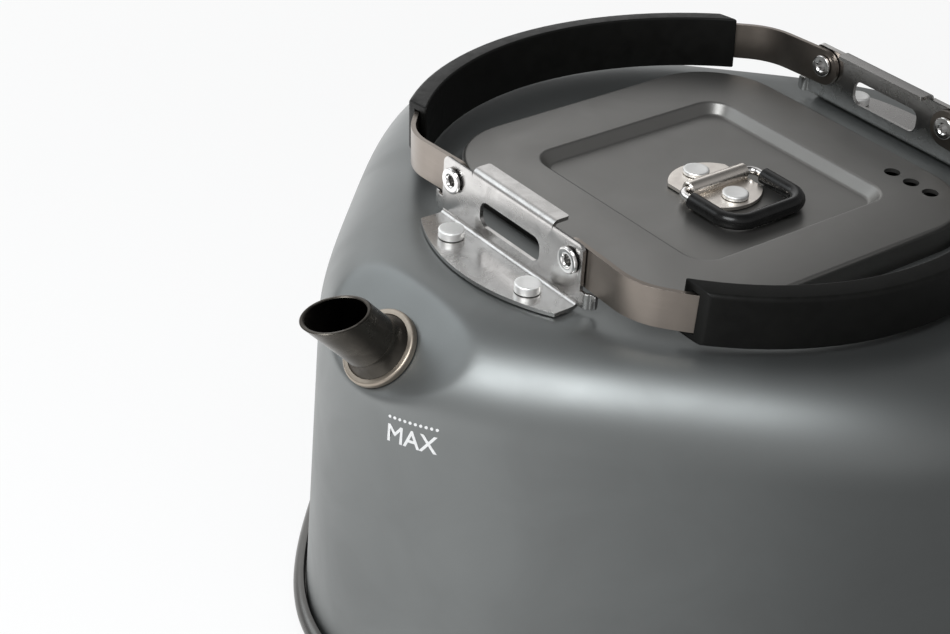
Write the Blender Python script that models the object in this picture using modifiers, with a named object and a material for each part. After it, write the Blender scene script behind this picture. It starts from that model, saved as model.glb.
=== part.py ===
"""Square camp kettle: a drawn body on a rolled base, a short spout, a lift-off lid and two folding handles.

The spout points along +X, the folded handles lie along +Y and -Y, and the base rests on z = 0.
"""
from math import acos, cos, pi, radians, sin, sqrt, tan

import bmesh
import bpy
from mathutils import Matrix, Vector

# Driving sizes in metres, angles in radians.
CLEARANCE = 0.0003

BODY_HALF_WIDTH = 0.0863
BODY_TAPER = 0.0022
BODY_POWER = 3.5
BODY_TOP = 0.0934
BODY_SHEET = 0.0012
SHOULDER_RADIUS = 0.020

BASE_FLOOR = 0.0015
RIM_HEIGHT = 0.0045
RIM_WIDTH = 0.0029
RIM_ROUNDING = 0.0009

LID_RISE = 0.0046
LID_HALF_WIDTH = 0.04575
LID_CORNER = 0.0190
LID_SHEET = 0.0010
LID_EDGE_RADIUS = 0.0008
LID_SKIRT_DEPTH = 0.0080
LID_SIDE_GAP = 0.00055
RECESS_HALF_WIDTH = 0.0292
RECESS_CORNER = 0.0060
RECESS_DEPTH = 0.0026
RECESS_SLOPE = 0.0022
VENT_DIAMETER = 0.0038
VENT_PITCH = 0.00585
VENT_COUNT = 3
VENT_EDGE_INSET = 0.00815
VENT_SIDE_INSET = 0.01835

MOUTH_ROUNDING = 0.0025
MOUTH_BORDER = 0.001
SEAT_WIDTH = 0.0028

SPOUT_ANGLE = radians(47)
SPOUT_DROP = 0.0112
PRESS_DEPTH = 0.0041
PRESS_SOFTNESS = 0.0008
SPOUT_DIAMETER = 0.0125
SPOUT_WALL = 0.0008
SPOUT_REACH = 0.0173
SPOUT_INSIDE = 0.0065
MOUTH_CUT_ANGLE = radians(84)
COLLAR_DIAMETER = 0.0178
COLLAR_HEIGHT = 0.0014
COLLAR_BEVEL = 0.0005
LOCK_RING_DIAMETER = 0.0156
LOCK_RING_HEIGHT = 0.0018

PIVOT_HALF_SPACING = 0.0200
PIVOT_HEIGHT = 0.0059
PLATE_OUTER_X = 0.0582
PLATE_SHEET = 0.0009
PLATE_HALF_WIDTH = 0.0238
EAR_RISE = 0.0046
EAR_CORNER = 0.0016
LIP_RISE = 0.0058
LIP_HALF_WIDTH = 0.0136
LIP_DEPTH = 0.0047
PLATE_BEND = 0.0016
LIP_BEND = 0.0013
FLANGE_OUTER_X = 0.0706
FLANGE_ARC = 0.0455
FLANGE_HALF_WIDTH = 0.0234
SLOT_LENGTH = 0.0205
SLOT_WIDTH = 0.0059
SLOT_CORNER = 0.0022
SLOT_DROP = 0.0032
TAB_WIDTH = 0.0033
TAB_BEND = 0.0009
TAB_SLIT = 0.0004

STRAP_SHEET = 0.0011
STRAP_HEIGHT = 0.0090
STRAP_RISE = -0.0004
STRAP_BEND = 0.0150
BOW_HALF_ANGLE = radians(49)
HANDLE_REACH = 0.0667
HANDLE_DROOP = radians(3)
GRIP_HEIGHT = 0.0131
GRIP_THICKNESS = 0.0051
GRIP_ROUNDING = 0.0014
GRIP_START = 0.0296
GRIP_END_SKEW = radians(45)

EYELET_BORE = 0.0024
EYELET_SHANK = 0.0036
EYELET_FLANGE = 0.0060
EYELET_HEAD_HEIGHT = 0.0008
EYELET_BEVEL = 0.0004
EYELET_TAIL_HEIGHT = 0.0006
EYELET_TAIL_DIAMETER = 0.0054

FOOT_RIVET_X = 0.0633
FOOT_RIVET_Y = 0.01335
FOOT_RIVET_HEAD = 0.0058
FOOT_RIVET_HEIGHT = 0.0018
LID_RIVET_HEAD = 0.0062
LID_RIVET_HEIGHT = 0.0009
RIVET_SHANK = 0.0030
RIVET_TAIL = 0.0050
RIVET_TAIL_HEIGHT = 0.0009
RIVET_BEVEL = 0.0004

LEAF_CENTRE_Y = 0.0022
LEAF_RADIUS = 0.0108
LEAF_HALF_WIDTH = 0.0088
LEAF_SHEET = 0.0008
LEAF_RIVET_SPACING = 0.0131
BARREL_LENGTH = 0.0176
WIRE_DIAMETER = 0.0020
BAIL_HALF_WIDTH = 0.01115
BAIL_LENGTH = 0.0179
BAIL_INNER_BEND = 0.0024
BAIL_OUTER_BEND = 0.0050
SLEEVE_DIAMETER = 0.0038
SLEEVE_START = 0.0042

# Fineness of the meshes.
RING_STEPS = 64
TURN_STEPS = 20
BEND_STEP = radians(12)
PRESS_SPREAD = 0.42
CUT_MARGIN = 0.002

# Sizes that follow from the driving ones.
LID_TOP = BODY_TOP + LID_RISE
PLATE_X = PLATE_OUTER_X - PLATE_SHEET / 2
STRAP_X = PLATE_OUTER_X - PLATE_SHEET - CLEARANCE - STRAP_SHEET / 2
PIVOT_Z = LID_TOP + PIVOT_HEIGHT
FLANGE_Z = BODY_TOP + CLEARANCE + PLATE_SHEET / 2
FLANGE_UPPER_Z = FLANGE_Z + PLATE_SHEET / 2
LIP_Z = PIVOT_Z + LIP_RISE - PLATE_SHEET / 2
TAB_DROP = (PLATE_HALF_WIDTH - PIVOT_HALF_SPACING) * tan(HANDLE_DROOP)
TAB_TOP_Z = PIVOT_Z + STRAP_RISE - STRAP_HEIGHT / 2 - TAB_DROP - CLEARANCE
TAB_ROOT_Z = TAB_TOP_Z - PLATE_SHEET / 2 + TAB_BEND
RECESS_FLOOR = LID_TOP - RECESS_DEPTH
SEAT_Z = LID_TOP - LID_SKIRT_DEPTH - CLEARANCE
MOUTH_HALF_WIDTH = LID_HALF_WIDTH + LID_SIDE_GAP
VENT_ROW_X = VENT_EDGE_INSET - LID_HALF_WIDTH
VENT_ROW_Y = LID_HALF_WIDTH - VENT_SIDE_INSET
LEAF_Z = RECESS_FLOOR + CLEARANCE
BARREL_RADIUS = SLEEVE_DIAMETER / 2
BARREL_Z = LEAF_Z + BARREL_RADIUS
BARREL_BORE = WIRE_DIAMETER / 2 + CLEARANCE
SPOUT_AXIS = Vector((cos(SPOUT_ANGLE), 0, sin(SPOUT_ANGLE)))
SHANK_HOLE = RIVET_SHANK / 2 + CLEARANCE


def clear_scene():
    for thing in list(bpy.data.objects):
        bpy.data.objects.remove(thing, do_unlink=True)


def collection(name):
    found = bpy.data.collections.new(name)
    bpy.context.scene.collection.children.link(found)
    return found


def material(name, colour, roughness, metallic):
    made = bpy.data.materials.new(name)
    made.use_nodes = True
    made.diffuse_color = (*colour, 1)
    shader = made.node_tree.nodes["Principled BSDF"]
    shader.inputs["Base Color"].default_value = (*colour, 1)
    shader.inputs["Roughness"].default_value = roughness
    shader.inputs["Metallic"].default_value = metallic
    return made


clear_scene()
KETTLE = collection("square_kettle")
CUTTERS = collection("cutters")
BODY_GREY = material("anodised_grey", (0.13, 0.14, 0.15), 0.42, 0.85)
STEEL = material("brushed_steel", (0.60, 0.59, 0.58), 0.30, 1.0)
STRAP_STEEL = material("warm_steel", (0.50, 0.46, 0.42), 0.36, 1.0)
ALUMINIUM = material("rivet_aluminium", (0.82, 0.82, 0.81), 0.35, 1.0)
DARK_METAL = material("dark_tube", (0.10, 0.09, 0.08), 0.40, 0.9)
BRONZE = material("warm_collar", (0.36, 0.31, 0.26), 0.38, 1.0)
RUBBER = material("black_rubber", (0.02, 0.02, 0.02), 0.60, 0.0)
SILICONE = material("black_silicone", (0.012, 0.012, 0.014), 0.25, 0.0)


def finish_object(name, mesh, finish, place=KETTLE, at=(0, 0, 0)):
    """Link a mesh as a named object; its vertices are given in world space and its origin is `at`."""
    mesh.transform(Matrix.Translation(-Vector(at)))
    thing = bpy.data.objects.new(name, mesh)
    thing.location = at
    place.objects.link(thing)
    if finish:
        mesh.materials.clear()
        mesh.materials.append(finish)
    mesh.shade_smooth()
    mesh.set_sharp_from_angle(angle=radians(35))
    return thing


def face_outwards(bm):
    bmesh.ops.recalc_face_normals(bm, faces=bm.faces)
    closed = all(edge.is_manifold for edge in bm.edges)
    if closed and bm.calc_volume(signed=True) < 0:
        bmesh.ops.reverse_faces(bm, faces=bm.faces)


def mesh_from(bm, name):
    face_outwards(bm)
    mesh = bpy.data.meshes.new(name)
    bm.to_mesh(mesh)
    bm.free()
    return mesh


def baked(thing):
    """The object's evaluated mesh in world space, welded; the object itself is removed."""
    bpy.context.view_layer.update()
    graph = bpy.context.evaluated_depsgraph_get()
    mesh = bpy.data.meshes.new_from_object(thing.evaluated_get(graph))
    mesh.transform(thing.matrix_world)
    bpy.data.objects.remove(thing, do_unlink=True)
    bm = bmesh.new()
    bm.from_mesh(mesh)
    bmesh.ops.remove_doubles(bm, verts=bm.verts, dist=0.00001)
    bm.to_mesh(mesh)
    bm.free()
    return mesh


def boolean(thing, cutter, operation="DIFFERENCE"):
    step = thing.modifiers.new(operation.lower(), "BOOLEAN")
    step.operation = operation
    step.object = cutter
    step.solver = "EXACT"


def as_cutter(thing):
    for home in list(thing.users_collection):
        home.objects.unlink(thing)
    CUTTERS.objects.link(thing)
    thing.hide_render = True
    thing.display_type = "WIRE"
    return thing


def add_block(bm, centre, size, turn=Matrix.Identity(4)):
    place = Matrix.Translation(centre) @ turn @ Matrix.Diagonal((*size, 1))
    bmesh.ops.create_cube(bm, size=1, matrix=place)


def rod_cutter(name, centre, direction, radius, length):
    """A cylinder that cuts a round hole, centred on `centre` along `direction`."""
    bm = bmesh.new()
    turn = Vector(direction).to_track_quat("Z", "Y").to_matrix().to_4x4()
    bmesh.ops.create_cone(bm, cap_ends=True, segments=TURN_STEPS, radius1=radius, radius2=radius,
                          depth=length, matrix=Matrix.Translation(centre) @ turn)
    return as_cutter(finish_object(name, mesh_from(bm, name), None))


def turned(name, profile, finish, centre, direction, closed=False):
    """A piece turned about `direction`; `profile` holds (radius, height) pairs down its outer side."""
    count = len(profile)
    edges = [(i, i + 1) for i in range(count - 1)]
    if closed:
        edges.append((count - 1, 0))
    mesh = bpy.data.meshes.new(name)
    mesh.from_pydata([(radius, 0, height) for radius, height in profile], edges, [])
    thing = bpy.data.objects.new(name, mesh)
    KETTLE.objects.link(thing)
    mesh.materials.append(finish)
    thing.location = centre
    thing.rotation_euler = Vector(direction).to_track_quat("Z", "Y").to_euler()
    screw = thing.modifiers.new("turn", "SCREW")
    screw.steps = TURN_STEPS
    screw.render_steps = TURN_STEPS
    screw.use_merge_vertices = True
    screw.merge_threshold = 0.00001
    screw.use_smooth_shade = True
    return thing


def ring_loft(name, rings, cap_start=False, cap_end=False):
    """A skin through rings of equal point count."""
    bm = bmesh.new()
    rows = [[bm.verts.new(point) for point in ring] for ring in rings]
    for low, high in zip(rows, rows[1:]):
        count = len(low)
        for i in range(count):
            j = (i + 1) % count
            bm.faces.new((low[i], low[j], high[j], high[i]))
    if cap_start:
        bm.faces.new(rows[0])
    if cap_end:
        bm.faces.new(rows[-1])
    return mesh_from(bm, name)


def solidify(thing, thickness):
    """Thicken an open skin towards its inner side."""
    step = thing.modifiers.new("sheet", "SOLIDIFY")
    step.thickness = thickness
    step.offset = -1
    step.use_even_offset = True
    step.use_quality_normals = True


def ring_angles():
    """Directions around the kettle, with extra ones where the spout's flat is pressed into the corner."""
    step = 2 * pi / RING_STEPS
    angles = []
    for i in range(RING_STEPS):
        angle = -pi + i * step
        angles.append(angle)
        if abs(angle + step / 2) < PRESS_SPREAD:
            angles.append(angle + step / 2)
    return angles


def body_radius(half_width, angle):
    """Distance to the body's outline, a soft square whose corners lie on the X and Y axes."""
    turned_angle = angle - pi / 4
    across = abs(cos(turned_angle)) ** BODY_POWER + abs(sin(turned_angle)) ** BODY_POWER
    return half_width / across ** (1 / BODY_POWER)


def body_ring(half_width, height):
    points = []
    for angle in ring_angles():
        radius = body_radius(half_width, angle)
        points.append(Vector((radius * cos(angle), radius * sin(angle), height)))
    return points


def square_radius(half_width, corner, angle):
    """Distance to the outline of a square with round corners whose sides face the X and Y axes."""
    long_part = max(abs(cos(angle)), abs(sin(angle)))
    short_part = min(abs(cos(angle)), abs(sin(angle)))
    straight = half_width - corner
    if half_width * short_part / long_part <= straight:
        return half_width / long_part
    along = straight * (long_part + short_part)
    return along + sqrt(along ** 2 - 2 * straight ** 2 + corner ** 2)


def square_ring(half_width, corner, height):
    points = []
    for angle in ring_angles():
        radius = square_radius(half_width, corner, angle)
        points.append(Vector((radius * cos(angle), radius * sin(angle), height)))
    return points


def shoulder_radius():
    """The shoulder's radius, limited by the flat border that is left at the mouth's corners."""
    corner = LID_CORNER + LID_SIDE_GAP + MOUTH_ROUNDING
    mouth = square_radius(MOUTH_HALF_WIDTH + MOUTH_ROUNDING, corner, pi / 4)
    return min(SHOULDER_RADIUS, BODY_HALF_WIDTH - BODY_TAPER - mouth - MOUTH_BORDER)


SHOULDER = shoulder_radius()


def corner_support():
    """How far the body's corner would reach along the spout's axis if it weren't pressed flat."""
    arc_centre = BODY_HALF_WIDTH - BODY_TAPER - SHOULDER
    reach = []
    for degree in range(91):
        angle = radians(degree)
        corner = body_radius(arc_centre + SHOULDER * cos(angle), 0)
        height = BODY_TOP - SHOULDER * (1 - sin(angle))
        reach.append(corner * cos(SPOUT_ANGLE) + height * sin(SPOUT_ANGLE))
    return max(reach)


def press_depth():
    """How deep the flat is pressed: PRESS_DEPTH, or more where a limited shoulder would narrow the flat."""
    half_flat = sqrt(2 * SHOULDER_RADIUS * PRESS_DEPTH - PRESS_DEPTH ** 2)
    return SHOULDER - sqrt(SHOULDER ** 2 - half_flat ** 2)


SPOUT_PLANE = corner_support() - press_depth()


def spout_point(distance):
    """A point on the spout's axis, measured outwards from the pressed flat."""
    height = BODY_TOP - SPOUT_DROP
    foot = Vector(((SPOUT_PLANE - height * sin(SPOUT_ANGLE)) / cos(SPOUT_ANGLE), 0, height))
    return foot + SPOUT_AXIS * distance


def pressed(point):
    """Move a point that lies beyond the spout's plane back onto it, with a soft edge."""
    beyond = point.dot(SPOUT_AXIS) - SPOUT_PLANE
    push = (beyond + sqrt(beyond ** 2 + PRESS_SOFTNESS ** 2)) / 2
    return point - SPOUT_AXIS * push


def body_rings():
    """Rings of the body's outer skin, from the foot of the wall to the seat inside the mouth."""
    wall_top = BODY_TOP - SHOULDER
    arc_centre = BODY_HALF_WIDTH - BODY_TAPER - SHOULDER
    foot = BASE_FLOOR + CLEARANCE
    rings = [body_ring(BODY_HALF_WIDTH, foot)]
    steps = 8
    for i in range(steps + 1):
        angle = i / steps * pi / 2
        rings.append(body_ring(arc_centre + SHOULDER * cos(angle), wall_top + SHOULDER * sin(angle)))
    rings = [[pressed(point) for point in ring] for ring in rings]
    corner = LID_CORNER + LID_SIDE_GAP
    steps = 3
    for i in range(steps + 1):
        angle = i / steps * pi / 2
        out = MOUTH_ROUNDING * (1 - sin(angle))
        drop = MOUTH_ROUNDING * (1 - cos(angle))
        rings.append(square_ring(MOUTH_HALF_WIDTH + out, corner + out, BODY_TOP - drop))
    rings.append(square_ring(MOUTH_HALF_WIDTH, corner, SEAT_Z))
    rings.append(square_ring(MOUTH_HALF_WIDTH - SEAT_WIDTH, corner - SEAT_WIDTH, SEAT_Z))
    return rings


def rivet_spots():
    """Where the four foot rivets hold the brackets: name and place on the body's flat top."""
    spots = []
    for end, sign in (("front", 1), ("rear", -1)):
        for side, way in (("right", 1), ("left", -1)):
            spots.append((f"{end}_bracket_rivet_{side}", sign * FOOT_RIVET_X, way * FOOT_RIVET_Y))
    return spots


def make_body():
    body = finish_object("body_shell", ring_loft("body_shell", body_rings()), BODY_GREY)
    solidify(body, BODY_SHEET)
    depth = 2 * (BODY_SHEET + CUT_MARGIN)
    for name, x, y in rivet_spots():
        boolean(body, rod_cutter(f"{name}_hole", (x, y, BODY_TOP), (0, 0, 1), SHANK_HOLE, depth))
    hole = SPOUT_DIAMETER / 2 + CLEARANCE
    boolean(body, rod_cutter("spout_hole", spout_point(0), SPOUT_AXIS, hole, depth))


def make_base():
    """A pan whose rolled rim stands proud around the foot of the wall."""
    edge = BODY_HALF_WIDTH + RIM_WIDTH
    groove = BODY_HALF_WIDTH + CLEARANCE
    rings = [
        body_ring(edge - RIM_ROUNDING, 0),
        body_ring(edge, RIM_ROUNDING),
        body_ring(edge, RIM_HEIGHT - RIM_ROUNDING),
        body_ring(edge - RIM_ROUNDING, RIM_HEIGHT),
        body_ring(groove + RIM_ROUNDING / 2, RIM_HEIGHT),
        body_ring(groove, RIM_HEIGHT - RIM_ROUNDING),
        body_ring(groove, BASE_FLOOR),
    ]
    finish_object("base_pan", ring_loft("base_pan", rings, True, True), BODY_GREY)


def make_spout():
    """The tube through the corner, its collar on the pressed flat and the ring that locks it inside."""
    outer = SPOUT_DIAMETER / 2
    inner = outer - SPOUT_WALL
    spare = SPOUT_DIAMETER
    top = SPOUT_REACH + spare
    tube_profile = [(inner, top), (outer, top), (outer, -SPOUT_INSIDE), (inner, -SPOUT_INSIDE)]
    tube = turned("spout_tube", tube_profile, DARK_METAL, spout_point(0), SPOUT_AXIS, closed=True)
    bm = bmesh.new()
    size = 4 * SPOUT_DIAMETER
    up = Vector((cos(MOUTH_CUT_ANGLE), 0, sin(MOUTH_CUT_ANGLE)))
    turn = up.to_track_quat("Z", "Y").to_matrix().to_4x4()
    add_block(bm, spout_point(SPOUT_REACH) + up * size / 2, (size, size, size), turn)
    boolean(tube, as_cutter(finish_object("mouth_cut", mesh_from(bm, "mouth_cut"), None)))

    edge = COLLAR_DIAMETER / 2
    bore = outer + CLEARANCE
    high = CLEARANCE + COLLAR_HEIGHT
    collar_profile = [(bore, high), (edge - COLLAR_BEVEL, high), (edge, high - COLLAR_BEVEL),
                      (edge, CLEARANCE), (bore, CLEARANCE)]
    turned("spout_collar", collar_profile, BRONZE, spout_point(0), SPOUT_AXIS, closed=True)

    ring = LOCK_RING_DIAMETER / 2
    top = -BODY_SHEET - 2 * CLEARANCE
    low = top - LOCK_RING_HEIGHT
    ring_profile = [(bore, top), (ring, top), (ring, low), (bore, low)]
    turned("spout_lock_ring", ring_profile, STEEL, spout_point(0), SPOUT_AXIS, closed=True)


def sheet_from_outlines(name, outlines, thickness):
    """A flat sheet in the XY plane from closed outlines; the first is the edge and the rest are holes."""
    curve = bpy.data.curves.new(name, "CURVE")
    curve.dimensions = "2D"
    curve.fill_mode = "BOTH"
    curve.extrude = thickness / 2
    for outline in outlines:
        spline = curve.splines.new("POLY")
        spline.points.add(len(outline) - 1)
        for point, (x, y) in zip(spline.points, outline):
            point.co = (x, y, 0, 1)
        spline.use_cyclic_u = True
    thing = bpy.data.objects.new(name, curve)
    KETTLE.objects.link(thing)
    return baked(thing)


def arc_points(x, y, radius, start, stop, steps=4):
    angles = [start + (stop - start) * i / steps for i in range(steps + 1)]
    return [(x + radius * cos(angle), y + radius * sin(angle)) for angle in angles]


def circle_outline(x, y, radius, steps=16):
    return arc_points(x, y, radius, 0, 2 * pi, steps)[:-1]


def rounded(corners, steps=4):
    """A polygon whose (x, y, radius) corners are rounded where the radius is above zero."""
    outline = []
    count = len(corners)
    for i, (x, y, radius) in enumerate(corners):
        here = Vector((x, y))
        if radius <= 0:
            outline.append((x, y))
            continue
        before = (Vector(corners[i - 1][:2]) - here).normalized()
        after = (Vector(corners[(i + 1) % count][:2]) - here).normalized()
        half = before.angle(after) / 2
        centre = here + (before + after).normalized() * radius / sin(half)
        start = here + before * radius / tan(half) - centre
        end = here + after * radius / tan(half) - centre
        for k in range(steps + 1):
            spoke = start.lerp(end, k / steps).normalized() * radius
            outline.append(tuple(centre + spoke))
    return outline


def make_path(start, heading, parts):
    """A bent line from ("line", length) and ("arc", radius, turn) parts.

    Returns a function from the distance along it to the place and the left-hand normal there, and
    the distances at which a sheet that follows it needs an edge. A turn to the left is positive.
    """
    pieces = []
    cuts = []
    here = Vector(start)
    run = 0.0
    for part in parts:
        forward = Vector((cos(heading), sin(heading)))
        if part[0] == "line":
            pieces.append((run, "line", here.copy(), heading, 0, 0))
            here = here + forward * part[1]
            run += part[1]
        else:
            radius, turn = part[1], part[2]
            side = 1 if turn > 0 else -1
            pieces.append((run, "arc", here.copy(), heading, radius, side))
            steps = max(2, round(abs(turn) / BEND_STEP))
            cuts += [run + radius * abs(turn) * k / steps for k in range(steps + 1)]
            centre = here + Vector((-forward.y, forward.x)) * radius * side
            heading += turn
            here = centre + Vector((sin(heading), -cos(heading))) * radius * side
            run += radius * abs(turn)

    def place(distance):
        begin, kind, origin, angle, radius, side = pieces[0]
        for piece in pieces[1:]:
            if distance >= piece[0] - 1e-7:
                begin, kind, origin, angle, radius, side = piece
        along = distance - begin
        if kind == "line":
            forward = Vector((cos(angle), sin(angle)))
            return origin + forward * along, Vector((-forward.y, forward.x))
        centre = origin + Vector((-sin(angle), cos(angle))) * radius * side
        angle += side * along / radius
        return centre + Vector((sin(angle), -cos(angle))) * radius * side, Vector((-sin(angle), cos(angle)))

    return place, cuts


def bend(mesh, cuts, move):
    """Cut a flat mesh across X at each distance in `cuts`, then move every vertex with `move`."""
    bm = bmesh.new()
    bm.from_mesh(mesh)
    for cut in cuts:
        everything = bm.verts[:] + bm.edges[:] + bm.faces[:]
        bmesh.ops.bisect_plane(bm, geom=everything, plane_co=(cut, 0, 0), plane_no=(1, 0, 0), dist=1e-7)
    for vertex in bm.verts:
        vertex.co = move(vertex.co.copy())
    face_outwards(bm)
    bm.to_mesh(mesh)
    bm.free()
    return mesh


def bracket_path():
    """The bracket's bends, from the flange's outer edge up the plate to the lip's inner edge."""
    start = (FLANGE_OUTER_X, FLANGE_Z)
    flange = FLANGE_OUTER_X - PLATE_X - PLATE_BEND
    upright = LIP_Z - LIP_BEND - FLANGE_Z - PLATE_BEND
    lip = LIP_DEPTH - PLATE_SHEET / 2 - LIP_BEND
    parts = [("line", flange), ("arc", PLATE_BEND, -pi / 2), ("line", upright), ("arc", LIP_BEND, pi / 2),
             ("line", lip)]
    lengths = [flange, PLATE_BEND * pi / 2, upright, LIP_BEND * pi / 2, lip]
    return start, parts, lengths


def bracket_outlines():
    """The bracket's flat pattern, with the distance along its bends as X and the kettle's Y as Y."""
    lengths = bracket_path()[2]
    upright_start = lengths[0] + lengths[1]

    def at_height(height):
        return upright_start + height - (FLANGE_Z + PLATE_BEND)

    end = sum(lengths)
    ear_top = at_height(PIVOT_Z + EAR_RISE)
    notch_low = at_height(FLANGE_UPPER_Z + PLATE_BEND + CLEARANCE)
    root = at_height(TAB_ROOT_Z)
    tab_end = notch_low + 2 * CLEARANCE
    tab_inner = PLATE_HALF_WIDTH - TAB_WIDTH
    slit = tab_inner - TAB_SLIT
    side = [(notch_low, PLATE_HALF_WIDTH, 0), (notch_low, slit, 0), (root, slit, 0),
            (root, tab_inner, 0), (tab_end, tab_inner, 0), (tab_end, PLATE_HALF_WIDTH, 0),
            (ear_top, PLATE_HALF_WIDTH, EAR_CORNER), (ear_top, LIP_HALF_WIDTH + CLEARANCE, 0),
            (ear_top - EAR_CORNER / 2, LIP_HALF_WIDTH, 0), (end, LIP_HALF_WIDTH, LIP_BEND / 2)]
    mirrored = [(x, -y, radius) for x, y, radius in reversed(side)]
    outline = rounded(side + mirrored, steps=3)
    flange_edge = []
    count = 12
    for i in range(count + 1):
        y = -FLANGE_HALF_WIDTH + 2 * FLANGE_HALF_WIDTH * i / count
        flange_edge.append((FLANGE_ARC - sqrt(FLANGE_ARC ** 2 - y ** 2), y))
    outline += flange_edge
    slot_middle = at_height(PIVOT_Z - SLOT_DROP)
    half, wide = SLOT_LENGTH / 2, SLOT_WIDTH / 2
    low, high = slot_middle - wide, slot_middle + wide
    slot = rounded([(low, -half, SLOT_CORNER), (high, -half, SLOT_CORNER),
                    (high, half, SLOT_CORNER), (low, half, SLOT_CORNER)], steps=3)
    holes = [slot]
    pivot_bore = EYELET_SHANK / 2 + CLEARANCE
    for way in (-1, 1):
        holes.append(circle_outline(at_height(PIVOT_Z), way * PIVOT_HALF_SPACING, pivot_bore))
        holes.append(circle_outline(FLANGE_OUTER_X - FOOT_RIVET_X, way * FOOT_RIVET_Y, SHANK_HOLE, 12))
    return [outline] + holes, root, tab_end, slit


def make_bracket(name, half_turn):
    """A riveted bracket: flange, slotted plate with ears, lip that stops the raised straps, and tabs."""
    outlines, root, tab_end, slit = bracket_outlines()
    start, parts, lengths = bracket_path()
    place, cuts = make_path(start, pi, parts)
    steps = 3
    tab_cuts = [root - TAB_BEND * pi / 2 * k / steps for k in range(steps + 1)]

    def fold(flat):
        distance, y, depth = flat
        if abs(y) > slit + TAB_SLIT / 2 and tab_end - CLEARANCE < distance < root:
            along = root - distance
            turn = min(along / TAB_BEND, pi / 2)
            extra = along - TAB_BEND * turn
            x = PLATE_X - TAB_BEND * (1 - cos(turn)) - extra
            z = TAB_ROOT_Z - TAB_BEND * sin(turn)
            return Vector((x + depth * cos(turn), y, z - depth * sin(turn)))
        spot, normal = place(distance)
        return Vector((spot.x - depth * normal.x, y, spot.y - depth * normal.y))

    mesh = bend(sheet_from_outlines(name, outlines, PLATE_SHEET), cuts + tab_cuts, fold)
    if half_turn:
        mesh.transform(Matrix.Rotation(pi, 4, "Z"))
    finish_object(name, mesh, STEEL)


def make_eyelet(name, sign, y):
    """A hollow rivet through bracket and strap, the hinge of one end of a handle."""
    bore, shank = EYELET_BORE / 2, EYELET_SHANK / 2
    head, tail = EYELET_FLANGE / 2, EYELET_TAIL_DIAMETER / 2
    under_head = CLEARANCE
    over_tail = -(PLATE_SHEET + STRAP_SHEET + 2 * CLEARANCE)
    top = under_head + EYELET_HEAD_HEIGHT
    low = over_tail - EYELET_TAIL_HEIGHT
    profile = [(bore + EYELET_BEVEL, top), (head - EYELET_BEVEL, top), (head, top - EYELET_BEVEL),
               (head, under_head), (shank, under_head), (shank, over_tail), (tail, over_tail), (tail, low),
               (bore, low), (bore, top - EYELET_BEVEL)]
    turned(name, profile, STEEL, (sign * PLATE_OUTER_X, y, PIVOT_Z), (sign, 0, 0), closed=True)


def make_rivet(name, x, y, head_low, head_diameter, head_height, tail_high):
    """A solid rivet from its head's underside, `head_low`, to its tail's upper side, `tail_high`."""
    head, shank, tail = head_diameter / 2, RIVET_SHANK / 2, RIVET_TAIL / 2
    top = head_low + head_height
    low = tail_high - RIVET_TAIL_HEIGHT
    profile = [(0, top), (head - RIVET_BEVEL, top), (head, top - RIVET_BEVEL), (head, head_low),
               (shank, head_low), (shank, tail_high), (tail, tail_high), (tail, low), (0, low)]
    turned(name, profile, ALUMINIUM, (x, y, 0), (0, 0, 1))


def strap_path():
    """The strap's line seen from above, from its front end round the bow to its rear end."""
    corner_turn = pi / 2 - BOW_HALF_ANGLE
    bow_end_x = STRAP_X - STRAP_BEND * (1 - cos(corner_turn))
    bow_radius = bow_end_x / sin(BOW_HALF_ANGLE)
    rise = STRAP_BEND * sin(corner_turn) + bow_radius * (1 - cos(BOW_HALF_ANGLE))
    straight = HANDLE_REACH - rise - PIVOT_HALF_SPACING
    parts = [("line", straight), ("arc", STRAP_BEND, corner_turn),
             ("arc", bow_radius, 2 * BOW_HALF_ANGLE),
             ("arc", STRAP_BEND, corner_turn), ("line", straight)]
    half_length = straight + STRAP_BEND * corner_turn + bow_radius * BOW_HALF_ANGLE
    place, cuts = make_path((STRAP_X, PIVOT_HALF_SPACING), pi / 2, parts)
    # Strap and grip have an edge where the grip ends, so the facets of the two run side by side.
    cuts += [GRIP_START, 2 * half_length - GRIP_START]
    return place, sorted(set(cuts)), half_length


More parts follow.
